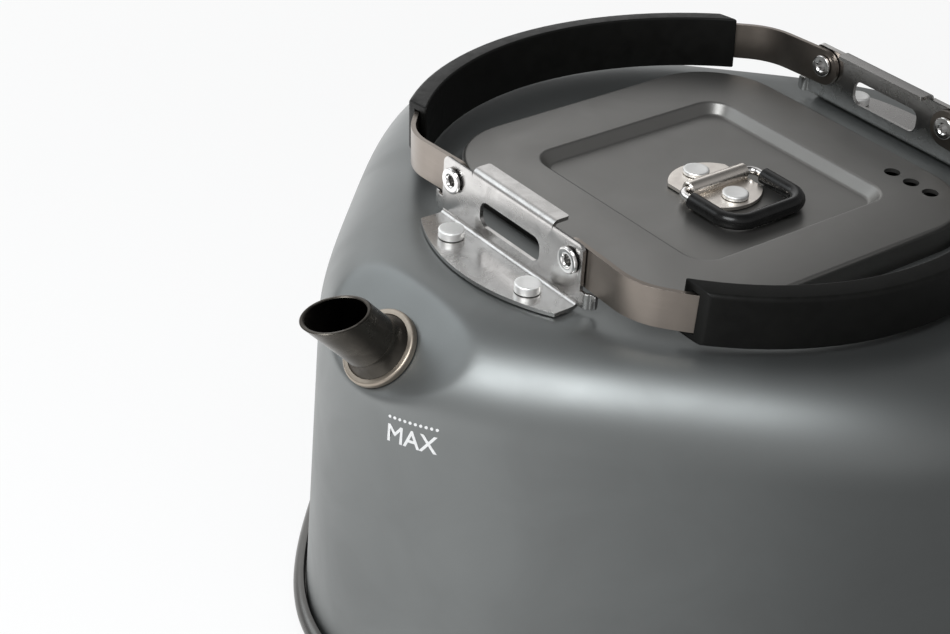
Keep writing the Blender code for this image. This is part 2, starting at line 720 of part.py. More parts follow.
def make_handle(side, way):
    """A strap bent round in a bow, with a rubber grip over it; `way` is 1 for the +Y side."""
    place, cuts, half_length = strap_path()
    middle = STRAP_RISE
    end = STRAP_HEIGHT / 2
    length = 2 * half_length
    # Each end stays as near to the pivot as the strap's lower edge, so it clears the tab as it turns.
    near_end = arc_points(0, middle, end, pi / 2, pi)
    near_end += arc_points(0, min(middle, 0), end - max(middle, 0), pi, 3 * pi / 2)[1:]
    outline = near_end + [(length - x, y) for x, y in reversed(near_end)]
    bore = EYELET_SHANK / 2 + CLEARANCE
    holes = [circle_outline(0, 0, bore), circle_outline(length, 0, bore)]

    def wrap(flat):
        spot, normal = place(flat.x)
        return Vector((spot.x - flat.z * normal.x, spot.y - flat.z * normal.y, PIVOT_Z + flat.y))

    hinge = Matrix.Translation((0, PIVOT_HALF_SPACING, PIVOT_Z))
    turn = hinge @ Matrix.Rotation(-HANDLE_DROOP, 4, "X") @ hinge.inverted()
    if way < 0:
        turn = Matrix.Rotation(pi, 4, "Z") @ turn
    pivot = (0, way * PIVOT_HALF_SPACING, PIVOT_Z)
    flat_strap = sheet_from_outlines(f"handle_strap_{side}", [outline] + holes, STRAP_SHEET)
    strap = bend(flat_strap, cuts, wrap)
    strap.transform(turn)
    finish_object(f"handle_strap_{side}", strap, STRAP_STEEL, at=pivot)

    centre = (half_length, middle, 0)
    bm = bmesh.new()
    add_block(bm, centre, (length - 2 * GRIP_START, GRIP_HEIGHT, GRIP_THICKNESS))
    bmesh.ops.bevel(bm, geom=bm.edges[:], offset=GRIP_ROUNDING, segments=2, profile=0.5, affect="EDGES")
    for vertex in bm.verts:
        inwards = 1 if vertex.co.x < half_length else -1
        vertex.co.x += inwards * vertex.co.z * tan(GRIP_END_SKEW)
    block = finish_object("grip_block", mesh_from(bm, "grip_block"), None)
    bm = bmesh.new()
    add_block(bm, centre, (length, STRAP_HEIGHT + 2 * CLEARANCE, STRAP_SHEET + 2 * CLEARANCE))
    boolean(block, as_cutter(finish_object(f"grip_slot_{side}", mesh_from(bm, f"grip_slot_{side}"), None)))
    grip = bend(baked(block), cuts, wrap)
    grip.transform(turn)
    finish_object(f"grip_{side}", grip, RUBBER, at=pivot)


def lid_rings():
    """Rings of the lid's upper skin, from the skirt's lower edge to the middle of the recess."""
    skirt_low = LID_TOP - LID_SKIRT_DEPTH
    rings = [square_ring(LID_HALF_WIDTH, LID_CORNER, skirt_low)]
    steps = 2
    for i in range(steps + 1):
        angle = i / steps * pi / 2
        inset = LID_EDGE_RADIUS * (1 - cos(angle))
        height = LID_TOP - LID_EDGE_RADIUS * (1 - sin(angle))
        rings.append(square_ring(LID_HALF_WIDTH - inset, LID_CORNER - inset, height))
    rings.append(square_ring(RECESS_HALF_WIDTH, RECESS_CORNER, LID_TOP))
    inset = RECESS_SLOPE
    rings.append(square_ring(RECESS_HALF_WIDTH - inset, RECESS_CORNER - inset, RECESS_FLOOR))
    return rings


def lid_rivet_spots():
    return [("lid_rivet_right", LEAF_CENTRE_Y + LEAF_RIVET_SPACING / 2),
            ("lid_rivet_left", LEAF_CENTRE_Y - LEAF_RIVET_SPACING / 2)]


def make_lid():
    lid = finish_object("lid", ring_loft("lid", lid_rings(), cap_end=True), BODY_GREY)
    solidify(lid, LID_SHEET)
    depth = 2 * (LID_SHEET + CUT_MARGIN)
    for i in range(VENT_COUNT):
        y = VENT_ROW_Y + (i - (VENT_COUNT - 1) / 2) * VENT_PITCH
        centre = (VENT_ROW_X, y, LID_TOP)
        boolean(lid, rod_cutter(f"vent_hole_{i + 1}", centre, (0, 0, 1), VENT_DIAMETER / 2, depth))
    for name, y in lid_rivet_spots():
        boolean(lid, rod_cutter(f"{name}_hole", (0, y, RECESS_FLOOR), (0, 0, 1), SHANK_HOLE, depth))
        make_rivet(name, 0, y, LEAF_Z + LEAF_SHEET + CLEARANCE, LID_RIVET_HEAD, LID_RIVET_HEIGHT,
                   RECESS_FLOOR - LID_SHEET - CLEARANCE)


def make_leaf():
    """The lid handle's plate: a round leaf with cut sides and a rolled barrel for the bail."""
    side_angle = acos(LEAF_HALF_WIDTH / LEAF_RADIUS)
    outline = []
    steps = 10
    for centre_angle in (pi / 2, -pi / 2):
        for i in range(steps + 1):
            angle = centre_angle - (pi / 2 - side_angle) + (pi - 2 * side_angle) * i / steps
            outline.append((LEAF_RADIUS * cos(angle), LEAF_CENTRE_Y + LEAF_RADIUS * sin(angle)))
    holes = [circle_outline(0, y, SHANK_HOLE, 12) for name, y in lid_rivet_spots()]
    leaf_mesh = sheet_from_outlines("lid_handle_plate", [outline] + holes, LEAF_SHEET)
    leaf_mesh.transform(Matrix.Translation((0, 0, LEAF_Z + LEAF_SHEET / 2)))
    leaf = finish_object("lid_handle_plate", leaf_mesh, STRAP_STEEL)
    centre = (0, LEAF_CENTRE_Y, BARREL_Z)
    boolean(leaf, rod_cutter("barrel", centre, (1, 0, 0), BARREL_RADIUS, BARREL_LENGTH), "UNION")
    boolean(leaf, rod_cutter("barrel_bore", centre, (1, 0, 0), BARREL_BORE, BARREL_LENGTH + 2 * CUT_MARGIN))


def bail_points():
    """The bail's line from one end inside the barrel, out, round the loop and back."""
    x, y = BAIL_HALF_WIDTH, BAIL_LENGTH
    corners = [(x, 0, BAIL_INNER_BEND), (x, y, BAIL_OUTER_BEND), (-x, y, BAIL_OUTER_BEND),
               (-x, 0, BAIL_INNER_BEND)]
    return [(CLEARANCE, 0)] + rounded([(0, 0, 0)] + corners, steps=5)[1:] + [(-CLEARANCE, 0)]


def swept(name, points, diameter):
    """A round bar along points in the bail's plane."""
    curve = bpy.data.curves.new(name, "CURVE")
    curve.dimensions = "3D"
    curve.bevel_depth = diameter / 2
    curve.bevel_resolution = 2
    curve.use_fill_caps = True
    spline = curve.splines.new("POLY")
    spline.points.add(len(points) - 1)
    for point, (x, y) in zip(spline.points, points):
        point.co = (x, LEAF_CENTRE_Y + y, BARREL_Z, 1)
    thing = bpy.data.objects.new(name, curve)
    KETTLE.objects.link(thing)
    return baked(thing)


def make_bail():
    points = bail_points()
    hinge = (0, LEAF_CENTRE_Y, BARREL_Z)
    finish_object("lid_bail_wire", swept("lid_bail_wire", points, WIRE_DIAMETER), STEEL, at=hinge)
    x = BAIL_HALF_WIDTH
    middle = [point for point in points if point[1] > SLEEVE_START]
    covered = [(x, SLEEVE_START)] + middle + [(-x, SLEEVE_START)]
    sleeve_mesh = swept("lid_bail_sleeve", covered, SLEEVE_DIAMETER)
    sleeve = finish_object("lid_bail_sleeve", sleeve_mesh, SILICONE, at=hinge)
    longer = [(x, SLEEVE_START - CUT_MARGIN)] + middle + [(-x, SLEEVE_START - CUT_MARGIN)]
    bore_mesh = swept("sleeve_bore", longer, WIRE_DIAMETER + 2 * CLEARANCE)
    boolean(sleeve, as_cutter(finish_object("sleeve_bore", bore_mesh, None)))


def make_kettle():
    make_body()
    make_base()
    make_spout()
    for end, sign in (("front", 1), ("rear", -1)):
        make_bracket(f"{end}_bracket", sign < 0)
        for side, way in (("right", 1), ("left", -1)):
            make_eyelet(f"pivot_eyelet_{end}_{side}", sign, way * PIVOT_HALF_SPACING)
    for name, x, y in rivet_spots():
        make_rivet(name, x, y, FLANGE_UPPER_Z + CLEARANCE, FOOT_RIVET_HEAD, FOOT_RIVET_HEIGHT,
                   BODY_TOP - BODY_SHEET - CLEARANCE)
    make_handle("right", 1)
    make_handle("left", -1)
    make_lid()
    make_leaf()
    make_bail()


make_kettle()
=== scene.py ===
"""The square kettle's looks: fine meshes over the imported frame, their finishes, soft light and the camera."""
from math import asin, atan2, cos, pi, radians, sin, sqrt, tan

import bmesh
import bpy
from mathutils import Matrix, Vector


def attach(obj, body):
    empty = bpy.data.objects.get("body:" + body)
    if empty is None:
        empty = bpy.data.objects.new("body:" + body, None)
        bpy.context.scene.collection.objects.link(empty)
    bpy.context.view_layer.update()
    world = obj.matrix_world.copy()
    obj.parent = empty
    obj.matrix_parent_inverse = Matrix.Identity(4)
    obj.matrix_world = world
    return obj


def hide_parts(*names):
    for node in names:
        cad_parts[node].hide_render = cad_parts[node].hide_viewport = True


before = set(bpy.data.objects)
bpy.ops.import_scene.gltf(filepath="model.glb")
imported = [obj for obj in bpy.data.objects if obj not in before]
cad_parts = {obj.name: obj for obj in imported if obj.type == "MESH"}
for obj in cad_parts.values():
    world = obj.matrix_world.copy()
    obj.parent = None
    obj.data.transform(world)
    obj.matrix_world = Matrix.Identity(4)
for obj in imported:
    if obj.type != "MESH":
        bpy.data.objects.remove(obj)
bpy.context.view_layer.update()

# Sizes in metres. Those that the solids have too keep the solids' values.
GAP = 0.0003
HALF_WIDTH = 0.0863
TAPER = 0.0022
POWER = 3.5
BODY_TOP = 0.0934
BODY_SHEET = 0.0012
SHOULDER_RADIUS = 0.020
SHOULDER_CENTRE = HALF_WIDTH - TAPER - SHOULDER_RADIUS
WALL_TOP = BODY_TOP - SHOULDER_RADIUS
BASE_FLOOR = 0.0015
RIM_HEIGHT = 0.0045
RIM_WIDTH = 0.0029
RIM_INNER_FLAT = 0.004
RIM_TOP_DROP = 0.0001
GROOVE_ROUNDING = 0.0004
GROOVE_DROP = 0.0006
MOUTH_ROUNDING = 0.0025
SEAT_WIDTH = 0.0028
SEAT_Z = 0.0897

LID_TOP = 0.0980
LID_HALF_WIDTH = 0.04575
LID_CORNER = 0.0190
LID_SHEET = 0.0010
LID_EDGE_RADIUS = 0.0010
LID_SKIRT_DEPTH = 0.0080
LID_SIDE_GAP = 0.00055
RECESS_HALF_WIDTH = 0.0292
RECESS_CORNER = 0.0060
RECESS_DEPTH = 0.0026
RECESS_SLOPE = 0.0022
RECESS_FILLET = 0.0011
RECESS_LEAST_CORNER = 0.002
VENT_RADIUS = 0.0019
VENT_PITCH = 0.00585
VENT_ROW_X = -0.0376
VENT_ROW_Y = 0.0274

SPOUT_ANGLE = radians(47)
SPOUT_DROP = 0.0112
PRESS_DEPTH = 0.0041
PRESS_SOFTNESS = 0.0006
SPOUT_RADIUS = 0.00625
SPOUT_WALL = 0.0008
SPOUT_REACH = 0.0173
SPOUT_INSIDE = 0.0065
MOUTH_CUT_ANGLE = radians(84)
LIP_SOFTNESS = 0.0002
FLARE_TOP = 0.0052
COLLAR_RADIUS = 0.0089
COLLAR_HEIGHT = 0.0014
COLLAR_BORE = SPOUT_RADIUS + 0.0011
COLLAR_BEVEL_WIDTH = 0.0002
COLLAR_BEVEL_DEPTH = 0.0003
COLLAR_ROUNDING = 0.0006

PIVOT_HALF_SPACING = 0.0200
PIVOT_Z = 0.1039
PLATE_OUTER_X = 0.0582
PLATE_SHEET = 0.0009
PLATE_X = PLATE_OUTER_X - PLATE_SHEET / 2
PLATE_HALF_WIDTH = 0.0238
EAR_RISE = 0.0046
EAR_CORNER = 0.0016
LIP_RISE = 0.0058
LIP_Z = PIVOT_Z + LIP_RISE - PLATE_SHEET / 2
LIP_HALF_WIDTH = 0.0136
LIP_DEPTH = 0.0047
PLATE_BEND = 0.0016
LIP_BEND = 0.0013
FLANGE_Z = BODY_TOP + GAP + PLATE_SHEET / 2
FLANGE_TOP = FLANGE_Z + PLATE_SHEET / 2
FLANGE_OUTER_X = 0.0706
FLANGE_ARC = 0.0455
FLANGE_HALF_WIDTH = 0.0234
SLOT_LENGTH = 0.0205
SLOT_WIDTH = 0.0059
SLOT_CORNER = 0.0022
SLOT_DROP = 0.0032
TONGUE_NOTCH = 0.0006
TONGUE_START = 0.0016
TONGUE_BEND = 0.0010
TONGUE_TURN = radians(62)
TONGUE_END = 0.0010
TONGUE_LOW_CORNER = 0.0012
TONGUE_HIGH_CORNER = 0.0003
BRACKET_BEVEL = 0.00013
FOLD_STEP = radians(9)

STRAP_SHEET = 0.0011
STRAP_HEIGHT = 0.0090
STRAP_RISE = -0.0004
STRAP_BEND = 0.0150
STRAP_X = PLATE_OUTER_X - PLATE_SHEET - GAP - STRAP_SHEET / 2
BOW_HALF_ANGLE = radians(49)
BOW_STEP = radians(3)
HANDLE_REACH = 0.0667
HANDLE_DROOP = radians(3)
GRIP_HEIGHT = 0.0131
GRIP_THICKNESS = 0.0051
GRIP_START = 0.0296
GRIP_END_SKEW = radians(45)
GRIP_INNER_ROUNDING = 0.0005
GRIP_OUTER_ROUNDING = 0.0011
GRIP_END_ROUNDING = 0.0005
GRIP_INNER_LEAST = 0.0002
GRIP_OUTER_LEAST = 0.0003
GRIP_LEAN = 0.0003
STRAP_BEVEL = 0.00018
TAB_DROP = (PLATE_HALF_WIDTH - PIVOT_HALF_SPACING) * tan(HANDLE_DROOP)
TAB_TOP_Z = PIVOT_Z + STRAP_RISE - STRAP_HEIGHT / 2 - TAB_DROP - GAP

EYELET_BORE = 0.0012
EYELET_SHANK = 0.0018
PIVOT_BORE = EYELET_SHANK + GAP / 3
EYELET_HEAD = 0.0030
EYELET_HEAD_HEIGHT = 0.0008
EYELET_FUNNEL = 0.0007
EYELET_TAIL = 0.0027
EYELET_TAIL_HEIGHT = 0.0006
EYELET_TAIL_ROUNDING = 0.0003
FOOT_RIVET_X = 0.0633
FOOT_RIVET_Y = 0.01335
FOOT_RIVET_RADIUS = 0.0029
FOOT_RIVET_HEIGHT = 0.0018
FOOT_RIVET_ROUNDING = 0.00035
LID_RIVET_RADIUS = 0.0031
LID_RIVET_HEIGHT = 0.0009
LID_RIVET_ROUNDING = 0.0004
RIVET_SHANK = 0.0015
RIVET_TAIL = 0.0025
RIVET_TAIL_HEIGHT = 0.0009
RIVET_DISH = 0.00006
RIVET_UNDERCUT = 0.0001

LEAF_CENTRE_Y = 0.0022
LEAF_RADIUS = 0.0108
LEAF_HALF_WIDTH = 0.0088
LEAF_SHEET = 0.0008
LEAF_Z = LID_TOP - RECESS_DEPTH + GAP
LEAF_BEVEL = 0.00015
LEAF_RIVET_SPACING = 0.0131
BARREL_LENGTH = 0.0176
BARREL_ROUNDING = 0.00025
WIRE_RADIUS = 0.0010
SLEEVE_RADIUS = 0.0019
BAIL_HALF_WIDTH = 0.01115
BAIL_LENGTH = 0.0179
BAIL_INNER_BEND = 0.0024
BAIL_OUTER_BEND = 0.0050
SLEEVE_START = 0.0042
SLEEVE_BEVEL = 0.00035
BARREL_Z = LEAF_Z + SLEEVE_RADIUS

SPOUT_AXIS = Vector((cos(SPOUT_ANGLE), 0, sin(SPOUT_ANGLE)))
TINY = 1e-7
MERGE_DISTANCE = 0.000005
# Between faces: edges are sharp above SHARP and bevelled above BEVELLED, and faces within COPLANAR merge.
SHARP = radians(35)
BEVELLED = radians(40)
COPLANAR = radians(0.5)

# The fill mark. LETTER_WEIGHT thickens the letters, as a share of the font's size.
MARK_START = radians(6.5)
MARK_END = radians(13.5)
MARK_WIDTH = 0.0115
MARK_FOOT = 0.0680
MARK_SLANT = 0.0010
MARK_DEPTH = 0.00012
LETTER_HEIGHT = 0.0042
LETTER_WEIGHT = 0.010
DOT_COUNT = 10
DOT_INSET = 0.0003
DOT_RISE = 0.0060
DOT_RADIUS = 0.00036

# The camera, fitted to the photograph's perspective.
IMAGE_WIDTH = 950
FOCAL_PIXELS = 1987.85
SENSOR = 36.0
CAMERA_PLACE = (0.2929, 0.2823, 0.3088)
CAMERA_AZIMUTH = radians(51.22)
CAMERA_ELEVATION = radians(32.06)
CAMERA_ROLL = radians(-3.37)


# Shader nodes.
def feed(tree, socket, value):
    """Give an input a plain value, or link another node's output to it."""
    if isinstance(value, bpy.types.NodeSocket):
        tree.links.new(value, socket)
    else:
        socket.default_value = value


def add_node(tree, kind, inputs=None, **settings):
    node = tree.nodes.new("ShaderNode" + kind)
    for key, value in settings.items():
        setattr(node, key, value)
    for key, value in (inputs or {}).items():
        feed(tree, node.inputs[key], value)
    return node


def combined(tree, operation, first, second):
    return add_node(tree, "Math", {0: first, 1: second}, operation=operation).outputs[0]


def mixed(tree, factor, first, second):
    """`first` where the factor is 0 and `second` where it is 1."""
    mix = add_node(tree, "Mix", {"Factor": factor, "A": first, "B": second}, data_type="FLOAT")
    return mix.outputs["Result"]


def ramp(tree, value, stops):
    """Levels along `value`: each stop is (value, level)."""
    low, high = stops[0][0], stops[-1][0]
    share = add_node(tree, "MapRange", {"Value": value, "From Min": low, "From Max": high})
    levels = add_node(tree, "ValToRGB", {"Fac": share.outputs["Result"]})
    elements = levels.color_ramp.elements
    while len(elements) < len(stops):
        elements.new(0.5)
    for element, (place, level) in zip(elements, stops):
        element.position = (place - low) / (high - low)
        element.color = (level, level, level, 1)
    return levels.outputs["Color"]


class Finish:
    """A material under construction: a Principled shader and short calls to feed it."""

    def __init__(self, name, colour, roughness, metallic):
        self.made = bpy.data.materials.new(name)
        self.made.use_nodes = True
        self.tree = self.made.node_tree
        self.shader = self.tree.nodes["Principled BSDF"]
        self.set("Base Color", (*colour, 1))
        self.set("Roughness", roughness)
        self.set("Metallic", metallic)
        self.bump = None

    def set(self, socket, value):
        feed(self.tree, self.shader.inputs[socket], value)

    def noise(self, scale, detail, roughness, distortion=0.0, uv=None):
        """Noise on object or UV coordinates; `scale` per metre is one number or one for each axis."""
        if uv:
            source = add_node(self.tree, "UVMap", uv_map=uv).outputs["UV"]
        else:
            source = add_node(self.tree, "TexCoord").outputs["Object"]
        scales = (scale, scale, scale) if isinstance(scale, int) else scale
        mapping = add_node(self.tree, "Mapping", {"Vector": source, "Scale": scales})
        noise = add_node(self.tree, "TexNoise", {
            "Vector": mapping.outputs["Vector"], "Scale": 1.0, "Detail": detail, "Roughness": roughness,
            "Distortion": distortion})
        return noise.outputs["Fac"]

    def ranged(self, value, spread, low, high):
        """Stretch a noise's middle, `spread` to each side of a half, to the range from `low` to `high`."""
        box = add_node(self.tree, "MapRange", {"Value": value, "From Min": 0.5 - spread,
                                               "From Max": 0.5 + spread, "To Min": low, "To Max": high})
        return box.outputs["Result"]

    def vary_roughness(self, value, low, high):
        self.set("Roughness", self.ranged(value, 0.2, low, high))

    def vary_colour(self, value, first, second, spread=0.2):
        inputs = {"Factor": self.ranged(value, spread, 0, 1), "A": (*first, 1), "B": (*second, 1)}
        self.set("Base Color", add_node(self.tree, "Mix", inputs, data_type="RGBA").outputs["Result"])

    def add_bump(self, value, height, strength):
        """Bumps `height` metres high, laid over those already there."""
        bump = add_node(self.tree, "Bump", {"Height": value, "Distance": height, "Strength": strength})
        if self.bump:
            feed(self.tree, bump.inputs["Normal"], self.bump)
        self.bump = bump.outputs["Normal"]
        self.set("Normal", self.bump)


# The finishes.
def anodised(name, colour, darker, roughness):
    """Hard-anodised aluminium: a satin metal with a blasted grain and faint cloudy patches."""
    look = Finish(name, colour, roughness, 0.92)
    grain = look.noise(2600, detail=2.0, roughness=0.6)
    cloud = look.noise(45, detail=4.0, roughness=0.55, distortion=0.6)
    look.vary_colour(cloud, colour, darker, 0.25)
    look.vary_roughness(cloud, roughness - 0.03, roughness + 0.03)
    look.add_bump(grain, 0.000006, 0.5)
    return look.made


def brushed(name, colour, darker, roughness, stretch, uv=None):
    """Brushed metal whose hairlines run along the axis with the smallest number in `stretch`."""
    look = Finish(name, colour, roughness, 1.0)
    lines = look.noise(stretch, detail=4.0, roughness=0.65, uv=uv)
    cloud = look.noise(120, detail=3.0, roughness=0.5, distortion=0.4)
    look.vary_colour(cloud, colour, darker, 0.22)
    look.vary_roughness(lines, roughness - 0.05, roughness + 0.06)
    look.add_bump(lines, 0.000006, 0.6)
    return look.made


def tumbled(name, colour, darker, roughness):
    """Tumbled stainless steel: shallow dimples, soft stains and a few fine scratches."""
    look = Finish(name, colour, roughness, 1.0)
    dimples = look.noise(1400, detail=3.0, roughness=0.6)
    stains = look.noise(170, detail=5.0, roughness=0.6, distortion=1.2)
    scratches = look.noise((90, 3200, 900), detail=2.0, roughness=0.5, distortion=0.3)
    look.vary_colour(stains, colour, darker)
    look.vary_roughness(stains, roughness - 0.05, roughness + 0.07)
    look.add_bump(dimples, 0.000012, 0.5)
    look.add_bump(scratches, 0.000004, 0.5)
    return look.made


def rubber(name, colour, lighter, roughness, grain_scale, grain_height, specular):
    look = Finish(name, colour, roughness, 0.0)
    grain = look.noise(grain_scale, detail=3.0, roughness=0.6)
    dust = look.noise(260, detail=5.0, roughness=0.65, distortion=0.8)
    look.vary_colour(dust, colour, lighter)
    look.vary_roughness(dust, roughness - 0.06, roughness + 0.08)
    look.set("Specular IOR Level", specular)
    look.add_bump(grain, grain_height, 0.7)
    return look.made


def paint(name, colour):
    look = Finish(name, colour, 0.5, 0.0)
    patch = look.noise(1800, detail=3.0, roughness=0.6)
    look.vary_colour(patch, colour, tuple(0.9 * part for part in colour))
    look.vary_roughness(patch, 0.45, 0.6)
    return look.made


BODY_GREY = anodised("anodised_body", (0.197, 0.207, 0.206), (0.180, 0.188, 0.187), 0.43)
LID_GREY = anodised("anodised_lid", (0.212, 0.209, 0.201), (0.194, 0.190, 0.182), 0.40)
BASE_GREY = anodised("anodised_base", (0.130, 0.128, 0.124), (0.110, 0.108, 0.104), 0.30)
BRACKET_STEEL = tumbled("tumbled_steel", (0.52, 0.51, 0.50), (0.44, 0.43, 0.42), 0.24)
EYELET_STEEL = tumbled("polished_steel", (0.74, 0.73, 0.72), (0.66, 0.65, 0.64), 0.14)
STRAP_STEEL = brushed("brushed_strap", (0.245, 0.216, 0.19), (0.216, 0.19, 0.169), 0.32, (60, 2600, 1), "flat")
LEAF_STEEL = tumbled("leaf_steel", (0.86, 0.81, 0.75), (0.77, 0.72, 0.67), 0.28)
RIVET_WHITE = tumbled("rivet_aluminium", (0.92, 0.92, 0.91), (0.85, 0.85, 0.84), 0.44)
TUBE_DARK = tumbled("dark_tube", (0.085, 0.078, 0.068), (0.060, 0.055, 0.048), 0.28)
TUBE_EDGE = tumbled("worn_tube_edge", (0.34, 0.30, 0.25), (0.26, 0.23, 0.19), 0.32)
COLLAR_TAN = brushed("tan_collar", (0.36, 0.315, 0.265), (0.31, 0.27, 0.225), 0.42, 1500)
RUBBER_BLACK = rubber("grip_rubber", (0.003, 0.003, 0.0027), (0.005, 0.005, 0.0045), 0.46, 2400, 0.00002, 0.16)
SILICONE_BLACK = rubber("sleeve_silicone", (0.005, 0.005, 0.005), (0.008, 0.008, 0.008), 0.24, 3000, 0.000004,
                        0.28)
MARK_WHITE = paint("mark_white", (0.80, 0.80, 0.80))


# Mesh building.
def placed(name, data):
    thing = bpy.data.objects.new(name, data)
    bpy.context.scene.collection.objects.link(thing)
    return thing


def shade(mesh):
    mesh.shade_smooth()
    mesh.set_sharp_from_angle(angle=SHARP)


def linked(name, mesh, *finishes):
    thing = placed(name, mesh)
    mesh.materials.clear()
    for finish in finishes:
        mesh.materials.append(finish)
    shade(mesh)
    return thing


def polar(radius, angle, height=0.0):
    return Vector((radius * cos(angle), radius * sin(angle), height))


def sweep(turn, steps):
    """The angles of an evenly divided turn, with both ends."""
    return [turn * i / steps for i in range(steps + 1)]


def face_outwards(bm):
    bmesh.ops.recalc_face_normals(bm, faces=bm.faces)
    if all(edge.is_manifold for edge in bm.edges) and bm.calc_volume(signed=True) < 0:
        bmesh.ops.reverse_faces(bm, faces=bm.faces)


def written(bm, mesh):
    bm.to_mesh(mesh)
    bm.free()
    return mesh


def mesh_from(bm, name):
    face_outwards(bm)
    return written(bm, bpy.data.meshes.new(name))


def loft(name, rings, cap_start=False, cap_end=False, closed=False, slots=None):
    """A skin through rings of equal point count; `slots` gives a material number for each strip."""
    bm = bmesh.new()
    rows = [[bm.verts.new(point) for point in ring] for ring in rings]
    pairs = list(zip(rows, rows[1:]))
    if closed:
        pairs.append((rows[-1], rows[0]))
    for k, (low, high) in enumerate(pairs):
        for corners in zip(low, low[1:] + low[:1], high[1:] + high[:1], high):
            face = bm.faces.new(corners)
            if slots:
                face.material_index = slots[k]
    if cap_start:
        bm.faces.new(rows[0])
    if cap_end:
        bm.faces.new(rows[-1])
    return mesh_from(bm, name)


def evaluated_mesh(thing):
    bpy.context.view_layer.update()
    graph = bpy.context.evaluated_depsgraph_get()
    return bpy.data.meshes.new_from_object(thing.evaluated_get(graph))


def solidify(thing, thickness):
    step = thing.modifiers.new("sheet", "SOLIDIFY")
    step.thickness = thickness
    step.offset = -1
    step.use_even_offset = True
    step.use_quality_normals = True


def cut_away(thing, cutters):
    """Take the cutters' bm shapes out of the object and freeze its modifiers into its mesh."""
    cutters = [linked("cutter", mesh_from(bm, "cutter")) for bm in cutters]
    for cutter in cutters:
        step = thing.modifiers.new("cut", "BOOLEAN")
        step.operation = "DIFFERENCE"
        step.object = cutter
        step.solver = "EXACT"
    mesh = evaluated_mesh(thing)
    thing.modifiers.clear()
    thing.data = mesh
    shade(mesh)
    for cutter in cutters:
        bpy.data.objects.remove(cutter, do_unlink=True)


def rod(centre, direction, radius, length):
    bm = bmesh.new()
    turn = Vector(direction).to_track_quat("Z", "Y").to_matrix().to_4x4()
    bmesh.ops.create_cone(bm, cap_ends=True, segments=48, radius1=radius, radius2=radius, depth=length,
                          matrix=Matrix.Translation(centre) @ turn)
    return bm


def bevel_edges(thing, width, segments=2):
    step = thing.modifiers.new("edges", "BEVEL")
    step.width = width
    step.segments = segments
    step.limit_method = "ANGLE"
    step.angle_limit = BEVELLED
    step.harden_normals = True


def turned(name, profile, centre, direction, finish, steps=64):
    """A closed (radius, height) profile turned about `direction`."""
    turn = Vector(direction).to_track_quat("Z", "Y").to_matrix()
    angles = [2 * pi * i / steps for i in range(steps)]
    rings = [[Vector(centre) + turn @ polar(radius, angle, height) for angle in angles]
             for radius, height in profile]
    capped = profile[0][0] < TINY
    if capped:
        rings = rings[1:-1]
    return linked(name, loft(name, rings, cap_start=capped, cap_end=capped, closed=not capped), finish)


def arc_points(x, y, radius, start, stop, steps):
    return [(x + radius * cos(start + angle), y + radius * sin(start + angle))
            for angle in sweep(stop - start, steps)]


def circle_outline(x, y, radius, steps=40):
    return arc_points(x, y, radius, 0, 2 * pi, steps)[:-1]


def rounded(corners, steps=6):
    """A polygon whose (x, y, radius) corners are rounded where the radius is above zero."""
    outline = []
    for i, (x, y, radius) in enumerate(corners):
        here = Vector((x, y))
        if radius <= 0:
            outline.append((x, y))
            continue
        before = (Vector(corners[i - 1][:2]) - here).normalized()
        after = (Vector(corners[(i + 1) % len(corners)][:2]) - here).normalized()
        half = before.angle(after) / 2
        centre = here + (before + after).normalized() * radius / sin(half)
        start = here + before * radius / tan(half) - centre
        end = here + after * radius / tan(half) - centre
        for k in range(steps + 1):
            spoke = start.lerp(end, k / steps).normalized() * radius
            outline.append(tuple(centre + spoke))
    return outline


def sheet_from_outlines(name, outlines, thickness):
    """A flat sheet in the XY plane from closed outlines; the first is the edge and the rest are holes."""
    curve = bpy.data.curves.new(name, "CURVE")
    curve.dimensions = "2D"
    curve.fill_mode = "BOTH"
    curve.extrude = thickness / 2
    for outline in outlines:
        add_line(curve, [(x, y, 0) for x, y in outline], True)
    return curve_mesh(name, curve)


def add_line(curve, points, closed):
    spline = curve.splines.new("POLY")
    spline.points.add(len(points) - 1)
    for spot, point in zip(spline.points, points):
        spot.co = (*point, 1)
    spline.use_cyclic_u = closed


def curve_mesh(name, curve):
    thing = placed(name, curve)
    mesh = evaluated_mesh(thing)
    bpy.data.objects.remove(thing, do_unlink=True)
    bm = bmesh.new()
    bm.from_mesh(mesh)
    bmesh.ops.remove_doubles(bm, verts=bm.verts, dist=MERGE_DISTANCE)
    return written(bm, mesh)


def ahead(heading):
    return Vector((cos(heading), sin(heading)))


def rightwards(heading):
    return Vector((sin(heading), -cos(heading)))


def make_path(start, heading, parts, bend_step):
    """A bent line from ("line", length) and ("arc", radius, turn) parts; a turn to the left is positive.

    Returns a function that gives the place at a distance along the line and a step to its right, and
    the distances at which a sheet that follows it needs an edge.
    """
    pieces = []
    cuts = []
    here = Vector(start)
    run = 0.0
    for part in parts:
        if part[0] == "line":
            pieces.append((run, here, heading, 0, 0))
            here = here + ahead(heading) * part[1]
            run += part[1]
            continue
        radius, turn = part[1], part[2]
        side = 1 if turn > 0 else -1
        pieces.append((run, here, heading, radius, side))
        steps = max(4, round(abs(turn) / bend_step))
        cuts += [run + radius * abs(turn) * k / steps for k in range(steps + 1)]
        centre = here - rightwards(heading) * radius * side
        heading += turn
        here = centre + rightwards(heading) * radius * side
        run += radius * abs(turn)

    def place(distance, right):
        begin, origin, angle, radius, side = pieces[0]
        for piece in pieces[1:]:
            if distance >= piece[0] - TINY:
                begin, origin, angle, radius, side = piece
        along = distance - begin
        if not radius:
            return origin + ahead(angle) * along + rightwards(angle) * right
        centre = origin - rightwards(angle) * radius * side
        angle += side * along / radius
        return centre + rightwards(angle) * (radius * side + right)

    return place, cuts


